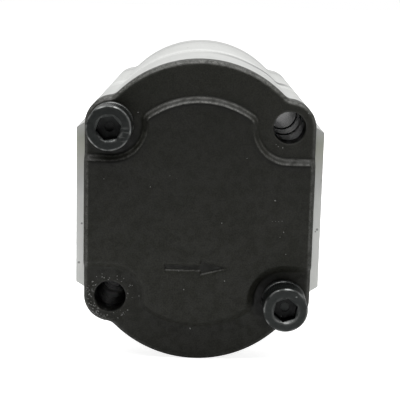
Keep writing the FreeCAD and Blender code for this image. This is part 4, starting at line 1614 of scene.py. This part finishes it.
        # Painted shade deep in the socket
        painted_shade = 0.85 * np.clip((deep - 0.7) / 1.4, 0, 1) * socket
        painted_shade *= 1 - (1 - spot_unshaded) * aside
        painted_shade[socket & (radius < self.drill_radius) & (deep > self.socket_deep)] = 1 - spot_unshaded
        keep_wear_and_painted_light(mesh, rubbed_and_highlight, painted_shade)

    def build(self, finish: BlackOxide) -> None:
        """Build both screws and both washers, and dress them.

        Args:
            finish: the finish of them all.
        """
        spots = {"upper": ((-1, 1), -110.0, 0.12), "lower": ((1, -1), -100.5, 0.9)}
        for name, (way, corner, spot_unshaded) in spots.items():
            centre = self.places.corner(*way)
            for kind, patch, crease in (("cap_screw", self.screw(centre, corner), 32.0),
                                        ("lock_washer", self.washer(centre), 40.0)):
                mesh = make_mesh(f"{name}_{kind}", patch, crease)
                self.wear_and_painted_light(mesh, centre, spot_unshaded)
                add_piece(mesh, Body.HOUSING, finish, f"{kind}s")


@dataclass
class ShaftEnd:
    """What shows on the drive shaft's end: its thread, nut, and the seal round it."""

    places: Places
    core: float = 5.15
    crest: float = 6.0
    pitch: float = 1.5
    nut_corner: float = 10.4
    nut_bore: float = 6.05
    chamfer_slope: float = 0.5
    seal_bore: float = 15.0
    lip: float = 9.03
    columns: int = 144
    core_from: float = 1.0
    thread_from: float = 1.6
    thread_short: float = 0.2

    def thread_core(self, finish: Finish) -> None:
        """Put in the drive gear and its shaft, with the threaded end turned to its core.

        Every point beyond the taper that lies further out than the core is drawn in to
        the core's radius.

        Args:
            finish: the shaft's finish.
        """
        mesh = bpy.data.meshes.new("drive_shaft_and_gear")
        tidy = bmesh.new()
        tidy.from_mesh(bpy.data.objects["front_drive_gear"].data)
        bmesh.ops.remove_doubles(tidy, verts=tidy.verts, dist=WELD * MM)
        tidy.to_mesh(mesh)
        tidy.free()
        spots = spots_of(mesh)
        radius = np.maximum(np.hypot(spots[:, 0], spots[:, 2]), WELD)
        ahead = spots[:, 1] > self.places.washer[0] + self.core_from
        spots[:, [0, 2]] *= np.where(ahead, np.minimum(1, self.core / radius), 1.0)[:, None]
        mesh.vertices.foreach_set("co", (spots * MM).ravel())
        soften(mesh, 25)
        add_piece(mesh, Body.DRIVE, finish, "front_drive_gear")

    def thread(self) -> Patch:
        """The thread's ridge on the shaft's end.

        Returns:
            The closed ridge.
        """
        start = self.places.washer[0] + self.thread_from
        length = self.places.shaft_tip - start - self.thread_short
        return thread(self.core - 0.1, self.crest, self.pitch, length, (0, start, 0),
                      np.array((0.0, 1.0, 0.0)), 48)

    def nut(self) -> Patch:
        """The hexagon nut: both ends are cones that the flats cut into curves.

        On a cone the height falls by the slope times the way out from the chamfer's
        circle, up to the hexagon's own radius at that angle.

        Returns:
            The closed surface.
        """
        back, front = self.places.nut
        tall, flat = front - back, self.nut_corner * math.cos(math.pi / 6)
        outer, ring = hexagon(full_turn(self.columns), flat, 0.0), flat * 0.96
        fall = (outer - ring) * self.chamfer_slope
        bore, mouth = self.nut_bore, self.nut_bore + 0.5
        rows = [(bore, 0.5), (mouth, 0.0), (ring, 0.0), ((ring + outer) / 2, fall / 2),
                (outer, fall), (outer, tall / 2), (outer, tall - fall),
                ((ring + outer) / 2, tall - fall / 2), (ring, tall), (mouth, tall),
                (bore, tall - 0.5), (bore, 0.5)]
        return turned(rows, (0, 0), back, Facing.FRONT, self.columns)

    def seal(self) -> Patch:
        """The shaft seal's ring: a rounded shell, a sunk web and a lip with its spring.

        Returns:
            The closed surface.
        """
        back, front = self.places.seal
        deep = front - back
        section = rounded([(self.seal_bore, deep / 2, 0), (self.seal_bore, 0, 0.5),
                           (self.lip + 0.1, 0, 0.3), (self.lip, 1.2, 0.4),
                           (self.lip + 0.9, deep - 2.6, 0.3), (self.lip, deep - 1.1, 0.35),
                           (self.lip + 0.5, deep, 0.3), (self.lip + 1.9, deep, 0.4),
                           (self.lip + 2.2, deep - 1.3, 0.4),
                           (self.seal_bore - 1.9, deep - 1.3, 0.5),
                           (self.seal_bore - 1.5, deep, 0.4), (self.seal_bore, deep, 0.5),
                           (self.seal_bore, deep / 2, 0)], 5)
        return turned(section, (0, 0), back, Facing.FRONT, self.columns)

    def build(self, steel: Finish, bright: Finish, rubber: Finish) -> None:
        """Build the shaft's end and dress it.

        Args:
            steel: the finish of the shaft and its thread.
            bright: the nut's.
            rubber: the seal's.
        """
        self.thread_core(steel)
        add_piece(make_mesh("shaft_thread", self.thread(), 30.0), Body.DRIVE, steel)
        add_piece(make_mesh("hexagon_nut", self.nut(), 28.0), Body.DRIVE, bright, "shaft_nut")
        add_piece(make_mesh("lip_seal", self.seal(), 30.0), Body.HOUSING, rubber, "shaft_seal")


@dataclass
class PortThreads:
    """Threads in the screw holes round the four side ports."""

    places: Places
    land: float = 45.6
    sunk: float = 0.3
    lines: Pair = (-114.5, -47.0)
    base: float = 3.02
    crest: float = 2.55
    pitch: float = 1.0
    deep: float = 12.0
    reach: Mapping[int, float] = field(default_factory=lambda: {-1: 20.0, 1: 17.5})

    def build(self, finish: Finish) -> None:
        """Build the ridges of all sixteen holes as one piece, and dress it.

        Args:
            finish: the finish of the metal round them.
        """
        ridges = []
        for side, reach in self.reach.items():
            for row, turn in product(self.lines, (45, 135, 225, 315)):
                along = row + reach * math.cos(math.radians(turn))
                up = self.places.middle + reach * math.sin(math.radians(turn))
                ridges.append(thread(self.base, self.crest, self.pitch, self.deep,
                                     (side * (self.land - self.sunk), along, up),
                                     np.array((-float(side), 0.0, 0.0)), 18))
        mesh = make_mesh("port_screw_threads", reduce(Patch.__add__, ridges), 30.0)
        add_piece(mesh, Body.HOUSING, finish)


@dataclass
class SolidDress:
    """Dresses the solids that show as they are: eased edges, smooth normals, a finish."""

    finishes: Mapping[str, Finish]
    breaks: Mapping[str, float]

    def ease(self, piece: bpy.types.Object, width: float) -> None:
        """Round a solid's edges: join its triangles, find its flats, bevel, even normals.

        Args:
            piece: the solid.
            width: width of its eased edges.
        """
        for name, kind, settings in (
                ("join", "WELD", {"merge_threshold": WELD * MM}),
                ("flats", "DECIMATE", {"decimate_type": "DISSOLVE",
                                       "angle_limit": math.radians(0.6)}),
                ("edges", "BEVEL", {"width": width * MM, "segments": 2, "limit_method": "ANGLE",
                                    "angle_limit": math.radians(35),
                                    "use_clamp_overlap": False}),
                ("normals", "WEIGHTED_NORMAL", {"keep_sharp": True})):
            modifier = piece.modifiers.new(name, kind)
            for key, setting in settings.items():
                setattr(modifier, key, setting)

    def build(self, nodes: Mapping[str, bpy.types.Object]) -> None:
        """Give each solid its finish and its edges.

        Args:
            nodes: the solids by name.
        """
        for name, finish in self.finishes.items():
            piece = nodes[name]
            piece.data.materials.clear()
            piece.data.materials.append(finish.material())
            if self.breaks.get(name):
                self.ease(piece, self.breaks[name])
            log.info("%s: %s", name, finish.name)


@dataclass
class Studio:
    """Floor, white background, a soft lamp and the camera at the photograph's angle."""

    floor: float
    eye: tuple[float, float, float] = (0.04, -556.37, 100.59)
    pitch: float = 0.1883
    yaw: float = 0.0009
    roll: float = 0.0244
    lens: float = 102.84
    floor_tone: float = 0.80
    floor_glow: float = 0.86
    floor_half: float = 6.0
    behind: float = 0.06
    ahead: float = 0.80
    fade: float = 0.35
    middle: tuple[float, float, float] = (0.0, -0.1, 0.02)

    def camera(self) -> None:
        """Set the camera by its place, its fall below the horizon, its yaw and its roll."""
        data = bpy.data.cameras.new("camera")
        data.lens, data.sensor_width = self.lens, 36.0
        data.clip_start, data.clip_end = 0.01, 50.0
        camera = put("camera", data)
        ahead = Vector((math.sin(self.yaw) * math.cos(self.pitch),
                        math.cos(self.yaw) * math.cos(self.pitch), -math.sin(self.pitch)))
        right = Vector((math.cos(self.yaw), -math.sin(self.yaw), 0))
        above = right.cross(ahead)
        across = right * math.cos(self.roll) + above * math.sin(self.roll)
        upward = above * math.cos(self.roll) - right * math.sin(self.roll)
        turn = Matrix((across, upward, -ahead)).transposed()
        camera.matrix_world = Matrix.Translation(Vector(self.eye) * MM) @ turn.to_4x4()
        bpy.context.scene.camera = camera

    def ground(self) -> None:
        """A wide pale floor that a camera sees as white outside the pump's shadow."""
        mesh = bpy.data.meshes.new("floor")
        mesh.from_pydata([(across * self.floor_half, along * self.floor_half, self.floor * MM)
                          for across, along in ((-1, -1), (1, -1), (1, 1), (-1, 1))],
                         [], [(0, 1, 2, 3)])
        put("floor", mesh)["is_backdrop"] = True
        material = bpy.data.materials.new("floor_paper")
        graph = Graph.blank(material)
        paper = graph.add("ShaderNodeBsdfDiffuse", {"Color": grey(self.floor_tone)})[0]
        seen = graph.add("ShaderNodeLightPath")["Is Camera Ray"]
        glow = graph.add("ShaderNodeEmission", {
            "Strength": graph.times(seen, self.floor_glow)})[0]
        graph.add("ShaderNodeOutputMaterial", {
            0: graph.add("ShaderNodeAddShader", {0: paper, 1: glow})[0]})
        mesh.materials.append(material)

    def world(self) -> None:
        """White to the camera; to the pump bright from its front end's side, dim from behind."""
        world = bpy.data.worlds.new("studio")
        graph = Graph.blank(world)
        _, along, _ = graph.parts(graph.add("ShaderNodeTexCoord")["Generated"])
        seen = graph.add("ShaderNodeLightPath")["Is Camera Ray"]
        level = graph.remap(along, -self.fade, self.fade, self.behind, self.ahead)
        strength = graph.most(level, seen)
        back = graph.add("ShaderNodeBackground", {"Color": grey(1.0), "Strength": strength})[0]
        graph.add("ShaderNodeOutputWorld", {0: back})
        bpy.context.scene.world = world

    def lamp(self, name: str, place: tuple[float, float, float], size: Pair,
             watts: float) -> None:
        """Hang one soft lamp, aimed at the pump's middle.

        Args:
            name: its name.
            place: where it hangs, in metres.
            size: its length and width, in metres.
            watts: its power.
        """
        data = bpy.data.lights.new(name, "AREA")
        data.shape = "RECTANGLE"
        data.size, data.size_y = size
        data.energy = watts
        aim = Vector(self.middle) - Vector(place)
        turn = aim.to_track_quat("-Z", "Y").to_matrix().to_4x4()
        put(name, data).matrix_world = Matrix.Translation(place) @ turn

    def build(self) -> None:
        """Set up the whole studio."""
        bpy.context.scene.view_settings.view_transform = "Standard"
        self.camera()
        self.ground()
        self.world()
        self.lamp("overhead", (0.0, -0.15, 0.95), (1.3, 1.0), 13.0)


def finishes(places: Places) -> dict[str, Finish]:
    """All the finishes by name.

    Args:
        places: where the pump's pieces stand.

    Returns:
        The finishes.
    """
    worn, upper = places.corner(-1, -1), places.corner(-1, 1)
    # Tones along the pump: a painted highlight round the joint at -90, each body's own tone, darker
    # at the front cover's joint
    along = ((-139.0, 0.80), (-101.0, 0.80), (-95.0, 0.90), (-90.5, 1.0), (-83.0, 1.0),
             (-76.0, 0.88), (-40.0, 0.86), (-24.0, 0.78), (-19.5, 0.68), (-10.0, 0.76), (0.0, 0.80))
    # Tones down the bolt holes: painted shade near each mouth, painted highlights and painted shade
    # in rings further in
    bore = ((-139.0, 0.03), (-136.0, 0.10), (-131.0, 0.17), (-128.0, 0.19), (-124.0, 0.32),
            (-119.5, 0.75), (-117.0, 0.14), (-114.0, 0.12), (-110.0, 0.32), (-107.0, 0.22),
            (-104.0, 0.05), (-100.0, 0.06), (-96.0, 0.18), (-77.0, 0.20), (-20.0, 0.24),
            (0.0, 0.45))
    # Rear end: painted shade towards its top, tinted green
    low, painted_shade_green = grey(1.0), (0.80, 0.80, 0.76, 1.0)
    ends = ((-14.0, low), (21.0, low), (27.0, grey(0.88)), (36.0, painted_shade_green),
            (40.0, (0.72, 0.725, 0.66, 1.0)), (43.5, (0.65, 0.66, 0.60, 1.0)), (48.0, grey(0.8)))
    metal = (Slot.ALLOY, (0.715, 0.725, 0.700, 1), (0.815, 0.820, 0.805, 1), 0.46)
    dots = ((31.1, 12.4, 0.22), (29.8, 10.5, 0.16), (32.2, 4.2, 0.2), (8.6, 15.2, 0.22),
            (10.2, -6.4, 0.26), (-10.2, 57.0, 0.24), (13.2, 56.0, 0.24), (-17.5, 27.9, 0.2),
            (-24.8, 50.9, 0.24), (-22.4, 54.4, 0.22), (-6.6, -3.0, 0.2), (-14.9, 54.7, 0.18),
            (29.8, 42.9, 0.24), (28.2, 43.3, 0.18), (27.4, 44.0, 0.16), (38.6, 55.6, 0.24),
            (26.8, 16.2, 0.12), (28.0, 16.3, 0.13), (29.2, 16.3, 0.15), (30.4, 16.4, 0.13),
            (17.0, 39.1, 0.16), (25.6, -13.9, 0.18), (27.8, -10.4, 0.2))
    # Painted shadow of the small step along the joint's right half, by the way across
    painted_step_shade = ((0, 0.0), (2, 0.12), (7, 0.26), (12, 0.40), (17, 0.48), (22, 0.68), (27, 0.90),
            (29.5, 1.0), (32, 0.85), (37, 0.25), (41.6, 0.0))
    holes = {"bore": bore, "holes": (places.screw_half, places.middle, 6.5)}
    body = {"mark_scale": 2600.0, "mark_depth": 0.006, "pits": 0.035, "wear_and_painted_light": 0.25,
            "tone_and_highlight_bands": along, "painted_step_shade": painted_step_shade, **holes}
    bright, rings = (grey(0.50), grey(0.62)), {"marks": Marks.RINGS, "mark_depth": 0.003}
    return {
        "cover": CastPaint("black_cast_paint", Slot.COVER, (0.0190, 0.0199, 0.0125, 1),
                           (0.0235, 0.0235, 0.0166, 1), 0.52, 0.0, worn_hole=worn, dots=dots),
        "rear": Machined("rear_body_aluminium", *metal, **body, ends=ends, seams=(-90.0,),
                         blots=((-43.4, 11.2, 0.5), (-44.4, -3.8, 0.6), (44.5, 11.0, 0.6),
                                (43.9, 10.2, 0.4))),
        "front": Machined("front_body_aluminium", *metal, **body, seams=(-90.0, -20.0)),
        "sleeve": Machined("sleeve_steel", Slot.BRIGHT, *bright, 0.34, **rings, **holes),
        "block": Machined("turned_block_alloy", Slot.BLOCK, grey(0.55), grey(0.66), 0.35,
                          marks=Marks.RINGS),
        "bright": Machined("turned_bright_steel", Slot.BRIGHT, *bright, 0.30, **rings,
                           mark_scale=5200.0),
        "black": BlackOxide("black_oxide", Slot.BLACK, (0.020, 0.0222, 0.0214, 1),
                            (0.030, 0.0330, 0.0318, 1), 0.34, 0.75,
                            scuff=(upper[0] + 6.0, upper[1] - 2.0)),
        "spring": BlackOxide("spring_steel_oiled", Slot.SPRING, grey(0.09), grey(0.13), 0.34, 0.9),
        "gear": Machined("ground_gear_steel", Slot.GEAR, grey(0.44), grey(0.54), 0.27, **rings,
                         mark_scale=4600.0, pits=0.01),
        "rubber": Moulded("moulded_seal_rubber", Slot.RUBBER, grey(0.020), grey(0.032), 0.55, 0.0),
    }


def main() -> None:
    """Build the pump's looks in order and report each piece."""
    logging.basicConfig(level=logging.INFO, format="%(name)s %(message)s")
    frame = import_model()
    start = [list(end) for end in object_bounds()]
    places = Places.read()
    coat = finishes(places)
    front, block, bright, gear = coat["front"], coat["block"], coat["bright"], coat["gear"]
    SolidDress(
        {"rear_body": coat["rear"], "front_body": front, "front_cover": front,
         "front_block_fore": block, "front_block_aft": block, "rear_block_fore": block,
         "rear_block_aft": block, "locating_sleeves": coat["sleeve"], "seal_circlip": coat["spring"],
         "coupling_disc": gear, "shaft_key": bright, "shaft_washer": bright,
         "front_driven_gear": gear, "rear_drive_gear": gear, "rear_driven_gear": gear},
        {"rear_body": 0.25, "front_body": 0.25, "front_cover": 0.3, "shaft_key": 0.2,
         "shaft_washer": 0.25, "seal_circlip": 0.12, "locating_sleeves": 0.2},
    ).build(frame["nodes"])
    RearCover(places).build(coat["cover"])
    CapScrews(places).build(coat["black"])
    ShaftEnd(places).build(gear, bright, coat["rubber"])
    PortThreads(places).build(front)
    Studio(start[0][2] / MM).build()


if __name__ == "__main__":
    main()
